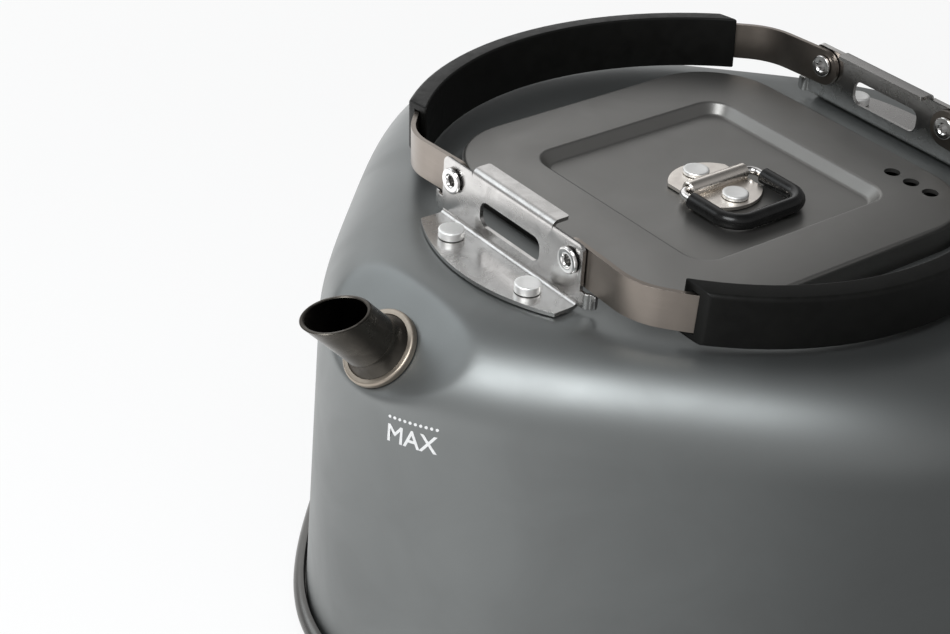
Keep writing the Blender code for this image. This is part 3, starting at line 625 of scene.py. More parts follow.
def bend(mesh, cuts, move):
    """Cut a flat mesh across X at each distance in `cuts`, keep its flat places as UVs, then move it."""
    bm = bmesh.new()
    bm.from_mesh(mesh)
    bmesh.ops.dissolve_limit(bm, angle_limit=COPLANAR, verts=bm.verts, edges=bm.edges)
    for cut in cuts:
        everything = bm.verts[:] + bm.edges[:] + bm.faces[:]
        bmesh.ops.bisect_plane(bm, geom=everything, plane_co=(cut, 0, 0), plane_no=(1, 0, 0), dist=TINY)
    flat = bm.loops.layers.uv.new("flat")
    for face in bm.faces:
        for corner in face.loops:
            corner[flat].uv = (corner.vert.co.x, corner.vert.co.y + corner.vert.co.z)
    for vertex in bm.verts:
        vertex.co = move(vertex.co.copy())
    face_outwards(bm)
    return written(bm, mesh)


# The body.
def ring_angles(steps=256, spread=0.45, finer=3):
    """Directions around the kettle, closer together about the spout."""
    step = 2 * pi / steps
    angles = []
    for i in range(steps):
        angle = -pi + i * step
        parts = finer if abs(angle + step / 2) < spread else 1
        angles += [angle + step * k / parts for k in range(parts)]
    return angles


ANGLES = ring_angles()


def body_radius(half_width, angle):
    """Distance to the body's outline, a soft square whose corners lie on the X and Y axes."""
    across = abs(cos(angle - pi / 4)) ** POWER + abs(sin(angle - pi / 4)) ** POWER
    return half_width / across ** (1 / POWER)


def body_ring(half_width, height):
    return [polar(body_radius(half_width, angle), angle, height) for angle in ANGLES]


def square_radius(half_width, corner, angle):
    """Distance to the outline of a square with round corners whose sides face the X and Y axes."""
    short_part, long_part = sorted((abs(cos(angle)), abs(sin(angle))))
    straight = half_width - corner
    if half_width * short_part / long_part <= straight:
        return half_width / long_part
    along = straight * (long_part + short_part)
    return along + sqrt(along ** 2 - 2 * straight ** 2 + corner ** 2)


def square_ring(half_width, corner, height):
    return [polar(square_radius(half_width, corner, angle), angle, height) for angle in ANGLES]


def corner_support():
    """How far the body's corner would reach along the spout's axis if it weren't pressed flat."""
    reach = []
    for angle in sweep(pi / 2, steps=90):
        corner = body_radius(SHOULDER_CENTRE + SHOULDER_RADIUS * cos(angle), 0)
        height = BODY_TOP - SHOULDER_RADIUS * (1 - sin(angle))
        reach.append(corner * cos(SPOUT_ANGLE) + height * sin(SPOUT_ANGLE))
    return max(reach)


SPOUT_PLANE = corner_support() - PRESS_DEPTH


def spout_point(distance):
    """A point on the spout's axis, measured outwards from the pressed flat."""
    height = BODY_TOP - SPOUT_DROP
    foot = Vector(((SPOUT_PLANE - height * sin(SPOUT_ANGLE)) / cos(SPOUT_ANGLE), 0, height))
    return foot + SPOUT_AXIS * distance


def pressed(point):
    """Move a point that lies beyond the spout's plane back onto it, with a soft edge."""
    beyond = point.dot(SPOUT_AXIS) - SPOUT_PLANE
    push = (beyond + sqrt(beyond ** 2 + PRESS_SOFTNESS ** 2)) / 2
    return point - SPOUT_AXIS * push


def blend_rings(first, last, steps):
    """Rings spaced evenly between two, without the two themselves."""
    return [[a.lerp(b, k / steps) for a, b in zip(first, last)] for k in range(1, steps)]


def body_rings():
    foot = body_ring(HALF_WIDTH, BASE_FLOOR + GAP)
    rings = [foot] + blend_rings(foot, body_ring(HALF_WIDTH - TAPER, WALL_TOP), steps=36)
    for angle in sweep(pi / 2, steps=40):
        out, up = SHOULDER_RADIUS * cos(angle), SHOULDER_RADIUS * sin(angle)
        rings.append(body_ring(SHOULDER_CENTRE + out, WALL_TOP + up))
    mouth_half = LID_HALF_WIDTH + LID_SIDE_GAP
    corner = LID_CORNER + LID_SIDE_GAP
    mouth_start = square_ring(mouth_half + MOUTH_ROUNDING, corner + MOUTH_ROUNDING, BODY_TOP)
    rings += blend_rings(rings[-1], mouth_start, steps=14)
    rings = [[pressed(point) for point in ring] for ring in rings]
    for angle in sweep(pi / 2, steps=8):
        out = MOUTH_ROUNDING * (1 - sin(angle))
        drop = MOUTH_ROUNDING * (1 - cos(angle))
        rings.append(square_ring(mouth_half + out, corner + out, BODY_TOP - drop))
    rings.append(square_ring(mouth_half, corner, SEAT_Z))
    rings.append(square_ring(mouth_half - SEAT_WIDTH, corner - SEAT_WIDTH, SEAT_Z))
    return rings


def skin_point(angle, height):
    """A point of the body's outer skin below its flat top."""
    if height <= WALL_TOP:
        foot = BASE_FLOOR + GAP
        half_width = HALF_WIDTH - TAPER * (height - foot) / (WALL_TOP - foot)
    else:
        half_width = SHOULDER_CENTRE + sqrt(SHOULDER_RADIUS ** 2 - (height - WALL_TOP) ** 2)
    return pressed(polar(body_radius(half_width, angle), angle, height))


def on_skin(flat):
    """Lay a flat point, u along the mark and v up it, on the body's skin with its z outwards."""
    along = flat.x / MARK_WIDTH
    angle = MARK_START + (MARK_END - MARK_START) * along
    height = MARK_FOOT + MARK_SLANT * along + flat.y
    step, turn = 0.0005, radians(0.3)
    spot = skin_point(angle, height)
    across = skin_point(angle + turn, height) - skin_point(angle - turn, height)
    upwards = skin_point(angle, height + step) - skin_point(angle, height - step)
    return spot + across.cross(upwards).normalized() * flat.z


def make_mark():
    """The fill mark: a row of dots over the plain word MAX, a thin print on the skin."""
    word = bpy.data.curves.new("word", "FONT")
    word.body = "MAX"
    word.extrude = MARK_DEPTH / 2
    word.offset = LETTER_WEIGHT
    letters = curve_mesh("word", word)
    for axis, size in ((0, MARK_WIDTH), (1, LETTER_HEIGHT)):
        places = [vertex.co[axis] for vertex in letters.vertices]
        low, high = min(places), max(places)
        for vertex in letters.vertices:
            vertex.co[axis] = (vertex.co[axis] - low) / (high - low) * size
    pitch = (MARK_WIDTH - 2 * DOT_INSET) / (DOT_COUNT - 1)
    dots = [circle_outline(DOT_INSET + pitch * i, DOT_RISE, DOT_RADIUS, 20) for i in range(DOT_COUNT)]
    pieces = (("fill_mark_word", letters), ("fill_mark_dots", sheet_from_outlines("dots", dots, MARK_DEPTH)))
    steps = 24
    cuts = [MARK_WIDTH * k / steps for k in range(steps + 1)]
    for name, mesh in pieces:
        mark = linked(name, bend(mesh, cuts, on_skin), MARK_WHITE)
        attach(mark, "kettle_body")


def make_body():
    body = linked("body_skin", loft("body_skin", body_rings()), BODY_GREY)
    solidify(body, BODY_SHEET)
    cut_away(body, [rod(spout_point(0), SPOUT_AXIS, SPOUT_RADIUS + GAP, 6 * BODY_SHEET)])
    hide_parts("body_shell")
    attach(body, "kettle_body")


def make_base():
    """A shallow pan with a rolled, round rim."""
    groove = HALF_WIDTH + GAP
    radius = RIM_HEIGHT / 2
    middle = HALF_WIDTH + RIM_WIDTH - radius
    rings = [body_ring(middle - RIM_INNER_FLAT, 0)]
    rings += [body_ring(x, y) for x, y in arc_points(middle, radius, radius, -pi / 2, pi / 2, 16)]
    rings += [body_ring(groove + GROOVE_ROUNDING, RIM_HEIGHT - RIM_TOP_DROP),
              body_ring(groove, RIM_HEIGHT - GROOVE_DROP), body_ring(groove, BASE_FLOOR)]
    base = linked("base_skin", loft("base_skin", rings, True, True), BASE_GREY)
    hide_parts("base_pan")
    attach(base, "kettle_body")


# The spout.
def make_spout():
    """The tube with its slanting mouth and its flared foot."""
    turn = SPOUT_AXIS.to_track_quat("Z", "Y").to_matrix()
    up = Vector((cos(MOUTH_CUT_ANGLE), 0, sin(MOUTH_CUT_ANGLE)))
    inner = SPOUT_RADIUS - SPOUT_WALL
    lip = SPOUT_WALL / 4
    steps = 96

    def ring(radius, height=None, drop=0.0):
        """Points around the tube at a height, or `drop` below the mouth's slanting cut."""
        points = []
        for i in range(steps):
            spoke = turn @ polar(radius, 2 * pi * i / steps)
            reach = SPOUT_REACH - spoke.dot(up) / SPOUT_AXIS.dot(up) - drop if height is None else height
            points.append(spout_point(reach) + spoke)
        return points

    rings = [ring(inner, -SPOUT_INSIDE), ring(inner, 0), ring(inner, drop=2 * lip), ring(inner, drop=lip),
             ring(inner + LIP_SOFTNESS), ring(SPOUT_RADIUS - LIP_SOFTNESS), ring(SPOUT_RADIUS, drop=lip),
             ring(SPOUT_RADIUS, drop=2 * lip)]
    slots = [0, 0, 1, 1, 1, 1, 1]
    # From a fine seam down over the flare: how far out from the tube's radius, and how high.
    profile = [(0, FLARE_TOP + 0.0003), (0.00006, FLARE_TOP + 0.0001), (-0.0001, FLARE_TOP - 0.0001),
               (-0.0001, FLARE_TOP - 0.0006), (0.0001, FLARE_TOP - 0.0018), (0.0006, COLLAR_HEIGHT + 0.0010),
               (0.0014, COLLAR_HEIGHT), (0, COLLAR_HEIGHT - 0.0004), (0, -SPOUT_INSIDE)]
    rings += [ring(SPOUT_RADIUS + out, height) for out, height in profile]
    slots += [0] * (len(profile) + 1)
    tube = linked("spout_body", loft("spout_body", rings, closed=True, slots=slots), TUBE_DARK, TUBE_EDGE)
    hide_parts("spout_tube")
    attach(tube, "kettle_body")


def make_collar():
    high, edge = GAP + COLLAR_HEIGHT, COLLAR_ROUNDING
    profile = [(COLLAR_BORE, high - COLLAR_BEVEL_DEPTH), (COLLAR_BORE + COLLAR_BEVEL_WIDTH, high)]
    profile += arc_points(COLLAR_RADIUS - edge, high - edge, edge, pi / 2, 0, 6)
    profile += [(COLLAR_RADIUS, GAP), (COLLAR_BORE, GAP)]
    collar = turned("collar_ring", profile, spout_point(0), SPOUT_AXIS, COLLAR_TAN, steps=96)
    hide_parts("spout_collar")
    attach(collar, "kettle_body")


# The brackets and their fasteners.
def bracket_path():
    """The bracket's line seen from the side, and the lengths of its straight and bent parts."""
    flange = FLANGE_OUTER_X - PLATE_X - PLATE_BEND
    upright = LIP_Z - LIP_BEND - FLANGE_Z - PLATE_BEND
    lip = LIP_DEPTH - PLATE_SHEET / 2 - LIP_BEND
    parts = [("line", flange), ("arc", PLATE_BEND, -pi / 2), ("line", upright), ("arc", LIP_BEND, pi / 2),
             ("line", lip)]
    return parts, [flange, PLATE_BEND * pi / 2, upright, LIP_BEND * pi / 2, lip]


def bracket_outlines():
    """The bracket's flat pattern, with the distance along its bends as X and the kettle's Y as Y."""
    lengths = bracket_path()[1]

    def at_height(height):
        return lengths[0] + lengths[1] + height - (FLANGE_Z + PLATE_BEND)

    ear_top = at_height(PIVOT_Z + EAR_RISE)
    notch_low = at_height(FLANGE_TOP + PLATE_BEND + GAP)
    side = [(notch_low, PLATE_HALF_WIDTH - TONGUE_NOTCH, 0), (notch_low, PLATE_HALF_WIDTH, 0),
            (ear_top, PLATE_HALF_WIDTH, EAR_CORNER), (ear_top, LIP_HALF_WIDTH + GAP, 0),
            (ear_top - EAR_CORNER / 2, LIP_HALF_WIDTH, 0), (sum(lengths), LIP_HALF_WIDTH, LIP_BEND / 2)]
    mirrored = [(x, -y, radius) for x, y, radius in reversed(side)]
    outline = rounded(side + mirrored, steps=5)
    count = 36
    for i in range(count + 1):
        y = -FLANGE_HALF_WIDTH + 2 * FLANGE_HALF_WIDTH * i / count
        outline.append((FLANGE_ARC - sqrt(FLANGE_ARC ** 2 - y ** 2), y))
    slot_middle = at_height(PIVOT_Z - SLOT_DROP)
    half, wide = SLOT_LENGTH / 2, SLOT_WIDTH / 2
    slot = rounded([(slot_middle + i * wide, k * half, SLOT_CORNER)
                    for i, k in ((-1, -1), (1, -1), (1, 1), (-1, 1))], steps=8)
    bores = [circle_outline(at_height(PIVOT_Z), way * PIVOT_HALF_SPACING, PIVOT_BORE) for way in (-1, 1)]
    return [outline, slot] + bores


def make_bracket(end, sign):
    place, cuts = make_path((FLANGE_OUTER_X, FLANGE_Z), pi, bracket_path()[0], FOLD_STEP)

    def fold(flat):
        spot = place(flat.x, flat.z)
        return Vector((sign * spot.x, sign * flat.y, spot.y))

    name = f"{end}_bracket_sheet"
    mesh = bend(sheet_from_outlines(name, bracket_outlines(), PLATE_SHEET), cuts, fold)
    bracket = linked(name, mesh, BRACKET_STEEL)
    bevel_edges(bracket, BRACKET_BEVEL)
    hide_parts(f"{end}_bracket")
    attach(bracket, "kettle_body")


def make_tongue(end, side, sign, way):
    """The ear's lower tongue, joggled inwards so that its upper edge carries the folded strap."""
    parts = [("line", TONGUE_START), ("arc", TONGUE_BEND, TONGUE_TURN), ("arc", TONGUE_BEND, -TONGUE_TURN),
             ("line", TONGUE_END)]
    length = TONGUE_START + 2 * TONGUE_BEND * TONGUE_TURN + TONGUE_END
    place, cuts = make_path((PLATE_X, PLATE_HALF_WIDTH - TONGUE_NOTCH), pi / 2, parts, FOLD_STEP)
    low, high = FLANGE_TOP, TAB_TOP_Z - GAP
    corners = [(0, low, 0), (length, low, TONGUE_LOW_CORNER), (length, high, TONGUE_HIGH_CORNER),
               (0, high, 0)]

    def wrap(flat):
        spot = place(flat.x, flat.z)
        return Vector((sign * spot.x, way * spot.y, flat.y))

    name = f"{end}_bracket_tongue_{side}"
    mesh = bend(sheet_from_outlines(name, [rounded(corners)], PLATE_SHEET - GAP / 10), cuts, wrap)
    tongue = linked(name, mesh, BRACKET_STEEL)
    bevel_edges(tongue, BRACKET_BEVEL)
    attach(tongue, "kettle_body")


def make_eyelet(end, side, sign, y):
    """A hollow rivet with a rolled, doughnut-like head and a funnel into its bore."""
    top = GAP + EYELET_HEAD_HEIGHT
    over_tail = -(PLATE_SHEET + STRAP_SHEET + 2 * GAP)
    tail_low = over_tail - EYELET_TAIL_HEIGHT
    roll = EYELET_HEAD_HEIGHT / 2
    fine = EYELET_TAIL_ROUNDING
    rolled = arc_points(EYELET_HEAD - roll, top - roll, roll, -pi / 4, pi / 2, 8)
    funnel = arc_points(EYELET_BORE + EYELET_FUNNEL, top - EYELET_FUNNEL, EYELET_FUNNEL, pi / 2, pi, 6)
    profile = [(EYELET_SHANK, GAP)] + rolled + funnel
    profile += [(EYELET_BORE, tail_low + fine), (EYELET_BORE + fine, tail_low)]
    profile += arc_points(EYELET_TAIL - fine, tail_low + fine, fine, -pi / 2, 0, 4)
    profile += [(EYELET_TAIL, over_tail), (EYELET_SHANK, over_tail)]
    name = f"eyelet_{end}_{side}"
    eyelet = turned(name, profile, (sign * PLATE_OUTER_X, y, PIVOT_Z), (sign, 0, 0), EYELET_STEEL, steps=48)
    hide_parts(f"pivot_eyelet_{end}_{side}")
    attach(eyelet, "kettle_body")


def rivet_profile(low, radius, height, edge, tail_high):
    """A solid rivet's outline, from the middle of its faintly dished head to its formed tail."""
    top = low + height
    dished = [(0, top - RIVET_DISH), (radius * 0.35, top - RIVET_DISH), (radius * 0.7, top - RIVET_DISH / 3)]
    rim = arc_points(radius - edge, top - edge, edge, pi / 2, 0, 6)
    under = [(radius, low + RIVET_UNDERCUT), (radius - RIVET_UNDERCUT, low), (RIVET_SHANK, low)]
    tail_low = tail_high - RIVET_TAIL_HEIGHT
    return dished + rim + under + [(RIVET_SHANK, tail_high), (RIVET_TAIL, tail_high), (RIVET_TAIL, tail_low),
                                   (0, tail_low)]


def make_foot_rivet(end, side, sign, way):
    low = FLANGE_TOP + GAP / 2
    profile = rivet_profile(low, FOOT_RIVET_RADIUS, FOOT_RIVET_HEIGHT + GAP / 2, FOOT_RIVET_ROUNDING,
                            BODY_TOP - BODY_SHEET - GAP)
    centre = (sign * FOOT_RIVET_X, way * FOOT_RIVET_Y, 0)
    rivet = turned(f"foot_rivet_{end}_{side}", profile, centre, (0, 0, 1), RIVET_WHITE)
    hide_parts(f"{end}_bracket_rivet_{side}")
    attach(rivet, "kettle_body")


# The handles.
def strap_path():
    """The strap's line seen from above, round the bow from end to end, and half its length."""
    corner_turn = pi / 2 - BOW_HALF_ANGLE
    bow_end_x = STRAP_X - STRAP_BEND * (1 - cos(corner_turn))
    bow_radius = bow_end_x / sin(BOW_HALF_ANGLE)
    rise = STRAP_BEND * sin(corner_turn) + bow_radius * (1 - cos(BOW_HALF_ANGLE))
    straight = HANDLE_REACH - rise - PIVOT_HALF_SPACING
    parts = [("line", straight), ("arc", STRAP_BEND, corner_turn), ("arc", bow_radius, 2 * BOW_HALF_ANGLE),
             ("arc", STRAP_BEND, corner_turn), ("line", straight)]
    half_length = straight + STRAP_BEND * corner_turn + bow_radius * BOW_HALF_ANGLE
    place, cuts = make_path((STRAP_X, PIVOT_HALF_SPACING), pi / 2, parts, BOW_STEP)
    cuts += [GRIP_START, 2 * half_length - GRIP_START]
    return place, sorted(set(cuts)), half_length


def bent_handle(mesh, way):
    """Wrap a mesh made flat along the strap round its bow, droop it and turn it to its side."""
    place, cuts = strap_path()[:2]

    def wrap(flat):
        return Vector((*place(flat.x, flat.z), PIVOT_Z + flat.y))

    hinge = Matrix.Translation((0, PIVOT_HALF_SPACING, PIVOT_Z))
    turn = hinge @ Matrix.Rotation(-HANDLE_DROOP, 4, "X") @ hinge.inverted()
    if way < 0:
        turn = Matrix.Rotation(pi, 4, "Z") @ turn
    mesh = bend(mesh, cuts, wrap)
    mesh.transform(turn)
    return mesh


def make_strap(side, way):
    length = 2 * strap_path()[2]
    near_end = arc_points(0, STRAP_RISE, STRAP_HEIGHT / 2, pi / 2, 3 * pi / 2, 20)
    outline = near_end + [(length - x, y) for x, y in reversed(near_end)]
    holes = [circle_outline(0, 0, PIVOT_BORE), circle_outline(length, 0, PIVOT_BORE)]
    name = f"strap_{side}"
    mesh = bent_handle(sheet_from_outlines(name, [outline] + holes, STRAP_SHEET), way)
    strap = linked(name, mesh, STRAP_STEEL)
    bevel_edges(strap, STRAP_BEVEL)
    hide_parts(f"handle_strap_{side}")
    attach(strap, f"{side}_handle")


def grip_section(inset):
    """The grip's outline across its length: height as x, thickness outwards as y."""
    half_x = GRIP_HEIGHT / 2 - inset
    half_y = GRIP_THICKNESS / 2 - inset
    inner = max(GRIP_INNER_ROUNDING - inset, GRIP_INNER_LEAST)
    outer = max(GRIP_OUTER_ROUNDING - inset, GRIP_OUTER_LEAST)
    return rounded([(-half_x, -half_y, inner), (half_x, -half_y, inner), (half_x - GRIP_LEAN, half_y, outer),
                    (GRIP_LEAN - half_x, half_y, outer)])


def make_grip(side, way):
    """A rubber bar with skewed ends, made flat, hollowed for the strap and wrapped round it."""
    half_length = strap_path()[2]
    half_grip = half_length - GRIP_START
    ends = [(GRIP_END_ROUNDING * (1 - sin(angle)), GRIP_END_ROUNDING * (1 - cos(angle)))
            for angle in sweep(pi / 2, steps=4)]
    rings = []
    for direction in (-1, 1):
        for along, inset in ends[::direction]:
            rings.append([(half_length + direction * (half_grip - along - depth * tan(GRIP_END_SKEW)),
                           STRAP_RISE + height, depth) for height, depth in grip_section(inset)])
    name = f"grip_cover_{side}"
    grip = linked(name, loft(name, rings, True, True), RUBBER_BLACK)
    bm = bmesh.new()
    size = (2 * half_length, STRAP_HEIGHT + 2 * GAP, STRAP_SHEET + 2 * GAP)
    place = Matrix.Translation((half_length, STRAP_RISE, 0)) @ Matrix.Diagonal((*size, 1))
    bmesh.ops.create_cube(bm, size=1, matrix=place)
    cut_away(grip, [bm])
    shade(bent_handle(grip.data, way))
    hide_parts(f"grip_{side}")
    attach(grip, f"{side}_handle")


# The lid and its handle.
def lid_rings():
    """Rings of the lid's upper skin, from the skirt's lower edge to the middle of the recess."""
    rings = [square_ring(LID_HALF_WIDTH, LID_CORNER, LID_TOP - LID_SKIRT_DEPTH)]
    for angle in sweep(pi / 2, steps=6):
        inset = LID_EDGE_RADIUS * (1 - cos(angle))
        height = LID_TOP - LID_EDGE_RADIUS * (1 - sin(angle))
        rings.append(square_ring(LID_HALF_WIDTH - inset, LID_CORNER - inset, height))
    # The recess wall is a straight slope between two fillets.
    fall = atan2(RECESS_DEPTH, RECESS_SLOPE)
    reach = RECESS_FILLET * tan(fall / 2)
    spots = [(RECESS_FILLET * sin(angle) - reach, RECESS_FILLET * (1 - cos(angle)))
             for angle in sweep(fall, steps=6)]
    spots += [(RECESS_SLOPE - inset, RECESS_DEPTH - drop) for inset, drop in reversed(spots)]
    for inset, drop in spots:
        corner = max(RECESS_CORNER - inset, RECESS_LEAST_CORNER)
        rings.append(square_ring(RECESS_HALF_WIDTH - inset, corner, LID_TOP - drop))
    return rings


def make_lid():
    lid = linked("lid_skin", loft("lid_skin", lid_rings(), cap_end=True), LID_GREY)
    solidify(lid, LID_SHEET)
    spots = [(VENT_ROW_X, VENT_ROW_Y + i * VENT_PITCH, LID_TOP) for i in (-1, 0, 1)]
    cut_away(lid, [rod(spot, (0, 0, 1), VENT_RADIUS, 6 * LID_SHEET) for spot in spots])
    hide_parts("lid")
    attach(lid, "lid")


def make_lid_rivet(side, way):
    low = LEAF_Z + LEAF_SHEET + GAP / 2
    profile = rivet_profile(low, LID_RIVET_RADIUS, LID_RIVET_HEIGHT + GAP / 2, LID_RIVET_ROUNDING,
                            LID_TOP - RECESS_DEPTH - LID_SHEET - GAP)
    centre = (0, LEAF_CENTRE_Y + way * LEAF_RIVET_SPACING / 2, 0)
    rivet = turned(f"leaf_rivet_{side}", profile, centre, (0, 0, 1), RIVET_WHITE)
    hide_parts(f"lid_rivet_{side}")
    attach(rivet, "lid")


def make_leaf():
    spread = asin(LEAF_HALF_WIDTH / LEAF_RADIUS)
    outline = []
    for middle in (pi / 2, -pi / 2):
        outline += arc_points(0, LEAF_CENTRE_Y, LEAF_RADIUS, middle - spread, middle + spread, 30)
    mesh = sheet_from_outlines("leaf_plate", [outline], LEAF_SHEET)
    mesh.transform(Matrix.Translation((0, 0, LEAF_Z + LEAF_SHEET / 2)))
    leaf = linked("leaf_plate", mesh, LEAF_STEEL)
    bevel_edges(leaf, LEAF_BEVEL)
    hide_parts("lid_handle_plate")
    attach(leaf, "lid")


def make_barrel():
    """The leaf plate's rolled barrel, in which the bail turns."""
    half, bore, edge = BARREL_LENGTH / 2, WIRE_RADIUS + GAP / 2, BARREL_ROUNDING
    lower = [(bore, edge - half), (bore + edge, -half), (SLEEVE_RADIUS - edge, -half),
             (SLEEVE_RADIUS, edge - half)]
    profile = lower + [(radius, -height) for radius, height in reversed(lower)]
    barrel = turned("leaf_barrel", profile, (0, LEAF_CENTRE_Y, BARREL_Z), (1, 0, 0), LEAF_STEEL, steps=40)
    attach(barrel, "lid")


def bail_points():
    """The bail's line, a loop through the barrel, inside which its two ends all but meet."""
    x, y = BAIL_HALF_WIDTH, BAIL_LENGTH
    corners = [(x, 0, BAIL_INNER_BEND), (x, y, BAIL_OUTER_BEND), (-x, y, BAIL_OUTER_BEND),
               (-x, 0, BAIL_INNER_BEND)]
    return [(GAP, 0)] + rounded([(0, 0, 0)] + corners, steps=10)[1:] + [(-GAP, 0)]


def swept(name, points, radius):
    """A round bar along (x, y) points in the bail's plane."""
    curve = bpy.data.curves.new(name, "CURVE")
    curve.dimensions = "3D"
    curve.bevel_depth = radius
    curve.bevel_resolution = 6
    curve.use_fill_caps = True
    add_line(curve, [(x, LEAF_CENTRE_Y + y, BARREL_Z) for x, y in points], False)
    return curve_mesh(name, curve)


def make_bail():
    points = bail_points()
    wire = linked("bail_rod", swept("bail_rod", points, WIRE_RADIUS), EYELET_STEEL)
    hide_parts("lid_bail_wire")
    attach(wire, "lid_bail")

    x = BAIL_HALF_WIDTH
    middle = [point for point in points if point[1] > SLEEVE_START]
    covered = [(x, SLEEVE_START)] + middle + [(-x, SLEEVE_START)]
    sleeve = linked("bail_cover", swept("bail_cover", covered, SLEEVE_RADIUS), SILICONE_BLACK)
    bevel_edges(sleeve, SLEEVE_BEVEL, 3)
    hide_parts("lid_bail_sleeve")
    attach(sleeve, "lid_bail")


# Light, floor and camera.
# What reflections see: levels by azimuth in degrees, by the height of a direction, and across the floor.
SKY_PLAIN = 0.45
SKY_AROUND = [(-180, 0.20), (-144, 0.20), (-137, 0.75), (-129, 1.25), (-100, 1.25), (-70, 0.60), (-30, 0.45),
              (30, 0.70), (70, 0.60), (120, 0.35), (180, 0.25)]
SKY_ABOVE = [(-1.0, 1.0), (0.60, 1.0), (0.75, 0.55), (0.85, 0.35), (1.0, 0.35)]
FLOOR_ACROSS = [(-0.30, 0.18), (-0.060, 0.20), (-0.030, 0.34), (0.008, 0.66), (0.047, 1.00), (0.080, 1.20),
                (0.110, 1.15), (0.150, 1.20), (0.220, 1.80), (0.30, 1.90)]
# How far the floor turns plain white to the camera, at distances from the kettle's middle.
FLOOR_CLEAR = [(0.0, 0.72), (0.25, 0.75), (0.70, 1.0), (1.2, 1.0)]
FLOOR_HALF_WIDTH = 2.0
FLOOR_LEVEL = 0.88
# How much of the floor's look in reflections comes from its levels, and not from the light on it.
FLOOR_GLOW = 0.85
LAMP_TARGET = Vector((0, 0, 0.06))


def make_world():
    """White to the camera, a plain level for diffuse light, and a studio's soft gradients in reflections."""
    world = bpy.data.worlds.new("studio")
    bpy.context.scene.world = world
    world.use_nodes = True
    tree = world.node_tree
    back = tree.nodes["Background"]
    back.inputs["Color"].default_value = (1, 1, 1, 1)
    path = add_node(tree, "LightPath")
    parts = add_node(tree, "SeparateXYZ", {"Vector": add_node(tree, "TexCoord").outputs["Generated"]})
    azimuth = combined(tree, "ARCTAN2", parts.outputs["Y"], parts.outputs["X"])
    around = ramp(tree, azimuth, [(radians(degrees), level) for degrees, level in SKY_AROUND])
    above = ramp(tree, parts.outputs["Z"], SKY_ABOVE)
    unseen = mixed(tree, path.outputs["Is Glossy Ray"], SKY_PLAIN, combined(tree, "MULTIPLY", around, above))
    clear = combined(tree, "MAXIMUM", path.outputs["Is Camera Ray"], path.outputs["Is Transmission Ray"])
    feed(tree, back.inputs["Strength"], mixed(tree, clear, unseen, 1.0))


def make_floor():
    """A pale floor: white to the camera but for the kettle's shadow, darker to the right in reflections."""
    bm = bmesh.new()
    bmesh.ops.create_grid(bm, x_segments=1, y_segments=1, size=FLOOR_HALF_WIDTH)
    floor = placed("floor", written(bm, bpy.data.meshes.new("floor")))
    look = Finish("floor_white", (FLOOR_LEVEL, FLOOR_LEVEL, FLOOR_LEVEL), 0.9, 0.0)
    look.set("Specular IOR Level", 0.1)
    tree = look.tree
    path = add_node(tree, "LightPath")
    place = add_node(tree, "NewGeometry").outputs["Position"]
    leftwards = (cos(pi / 4), -sin(pi / 4), 0)
    across = add_node(tree, "VectorMath", {0: place, 1: leftwards}, operation="DOT_PRODUCT")
    away = add_node(tree, "VectorMath", {0: place}, operation="LENGTH")
    level = mixed(tree, path.outputs["Is Glossy Ray"], 1.0, ramp(tree, across.outputs["Value"], FLOOR_ACROSS))
    glow = add_node(tree, "Emission", {"Strength": level})
    seen = mixed(tree, path.outputs["Is Camera Ray"], 0.0, ramp(tree, away.outputs["Value"], FLOOR_CLEAR))
    mirrored = mixed(tree, path.outputs["Is Glossy Ray"], seen, FLOOR_GLOW)
    sides = {"Fac": mirrored, 1: look.shader.outputs["BSDF"], 2: glow.outputs["Emission"]}
    mix = add_node(tree, "MixShader", sides)
    feed(tree, tree.nodes["Material Output"].inputs["Surface"], mix.outputs["Shader"])
    floor.data.materials.append(look.made)


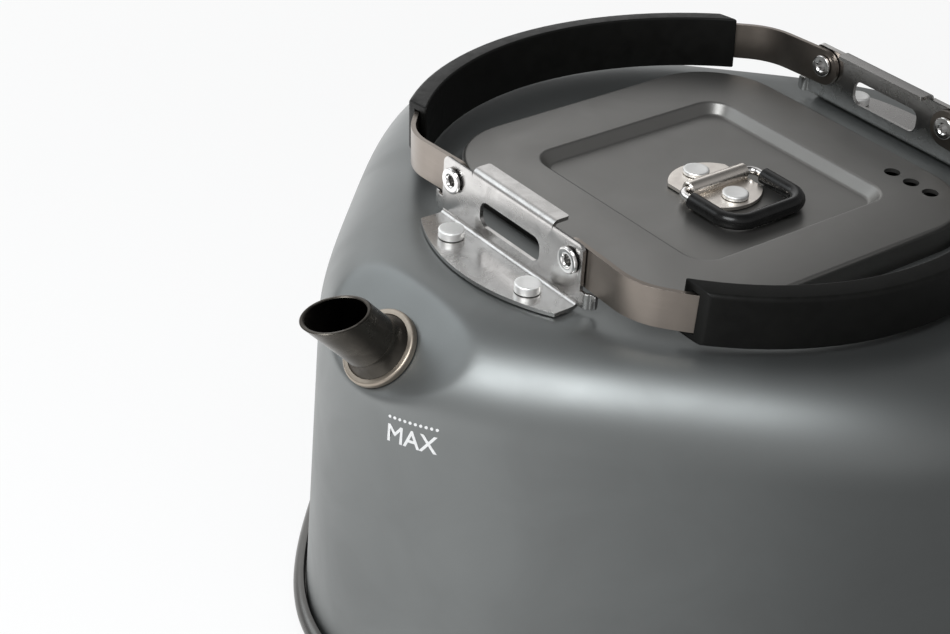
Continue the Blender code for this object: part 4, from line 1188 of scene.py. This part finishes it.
def softbox(name, azimuth, elevation, distance, width, height, power, colour):
    """An area light that looks at the kettle from an azimuth and elevation in degrees."""
    lamp = bpy.data.lights.new(name, "AREA")
    lamp.shape = "RECTANGLE"
    lamp.size, lamp.size_y = width, height
    lamp.energy = power
    lamp.color = colour
    thing = placed(name, lamp)
    away = polar(cos(radians(elevation)), radians(azimuth), sin(radians(elevation)))
    thing.location = LAMP_TARGET + away * distance
    thing.rotation_euler = away.to_track_quat("Z", "Y").to_euler()


def make_lights():
    softbox("key_over_camera", azimuth=20, elevation=52, distance=0.9, width=0.45, height=0.40, power=6.0,
            colour=(0.96, 0.985, 1.0))
    softbox("left_low", azimuth=-62, elevation=36, distance=1.1, width=0.7, height=0.5, power=1.8,
            colour=(0.90, 0.96, 1.0))


def make_camera():
    camera = bpy.data.cameras.new("camera")
    camera.sensor_width = SENSOR
    camera.lens = FOCAL_PIXELS * SENSOR / IMAGE_WIDTH
    camera.clip_start = 0.01
    thing = placed("camera", camera)
    forward = -polar(cos(CAMERA_ELEVATION), CAMERA_AZIMUTH, sin(CAMERA_ELEVATION))
    right = forward.cross(Vector((0, 0, 1))).normalized()
    down = forward.cross(right)
    turned_right = right * cos(CAMERA_ROLL) + down * sin(CAMERA_ROLL)
    turned_down = down * cos(CAMERA_ROLL) - right * sin(CAMERA_ROLL)
    turn = Matrix((turned_right, -turned_down, -forward)).transposed()
    thing.matrix_world = Matrix.Translation(CAMERA_PLACE) @ turn.to_4x4()
    bpy.context.scene.camera = thing


make_body()
make_mark()
make_base()
make_spout()
make_collar()
sides = (("right", 1), ("left", -1))
for end_name, end_sign in (("front", 1), ("rear", -1)):
    make_bracket(end_name, end_sign)
    for side_name, side_way in sides:
        make_eyelet(end_name, side_name, end_sign, side_way * PIVOT_HALF_SPACING)
        make_foot_rivet(end_name, side_name, end_sign, side_way)
        make_tongue(end_name, side_name, end_sign, side_way)
for side_name, side_way in sides:
    make_strap(side_name, side_way)
    make_grip(side_name, side_way)
    make_lid_rivet(side_name, side_way)
make_lid()
make_leaf()
make_barrel()
make_bail()
lock_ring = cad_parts["spout_lock_ring"].data
lock_ring.materials.clear()
lock_ring.materials.append(BRACKET_STEEL)
make_world()
make_floor()
make_lights()
make_camera()
bpy.context.scene.view_settings.view_transform = "Standard"
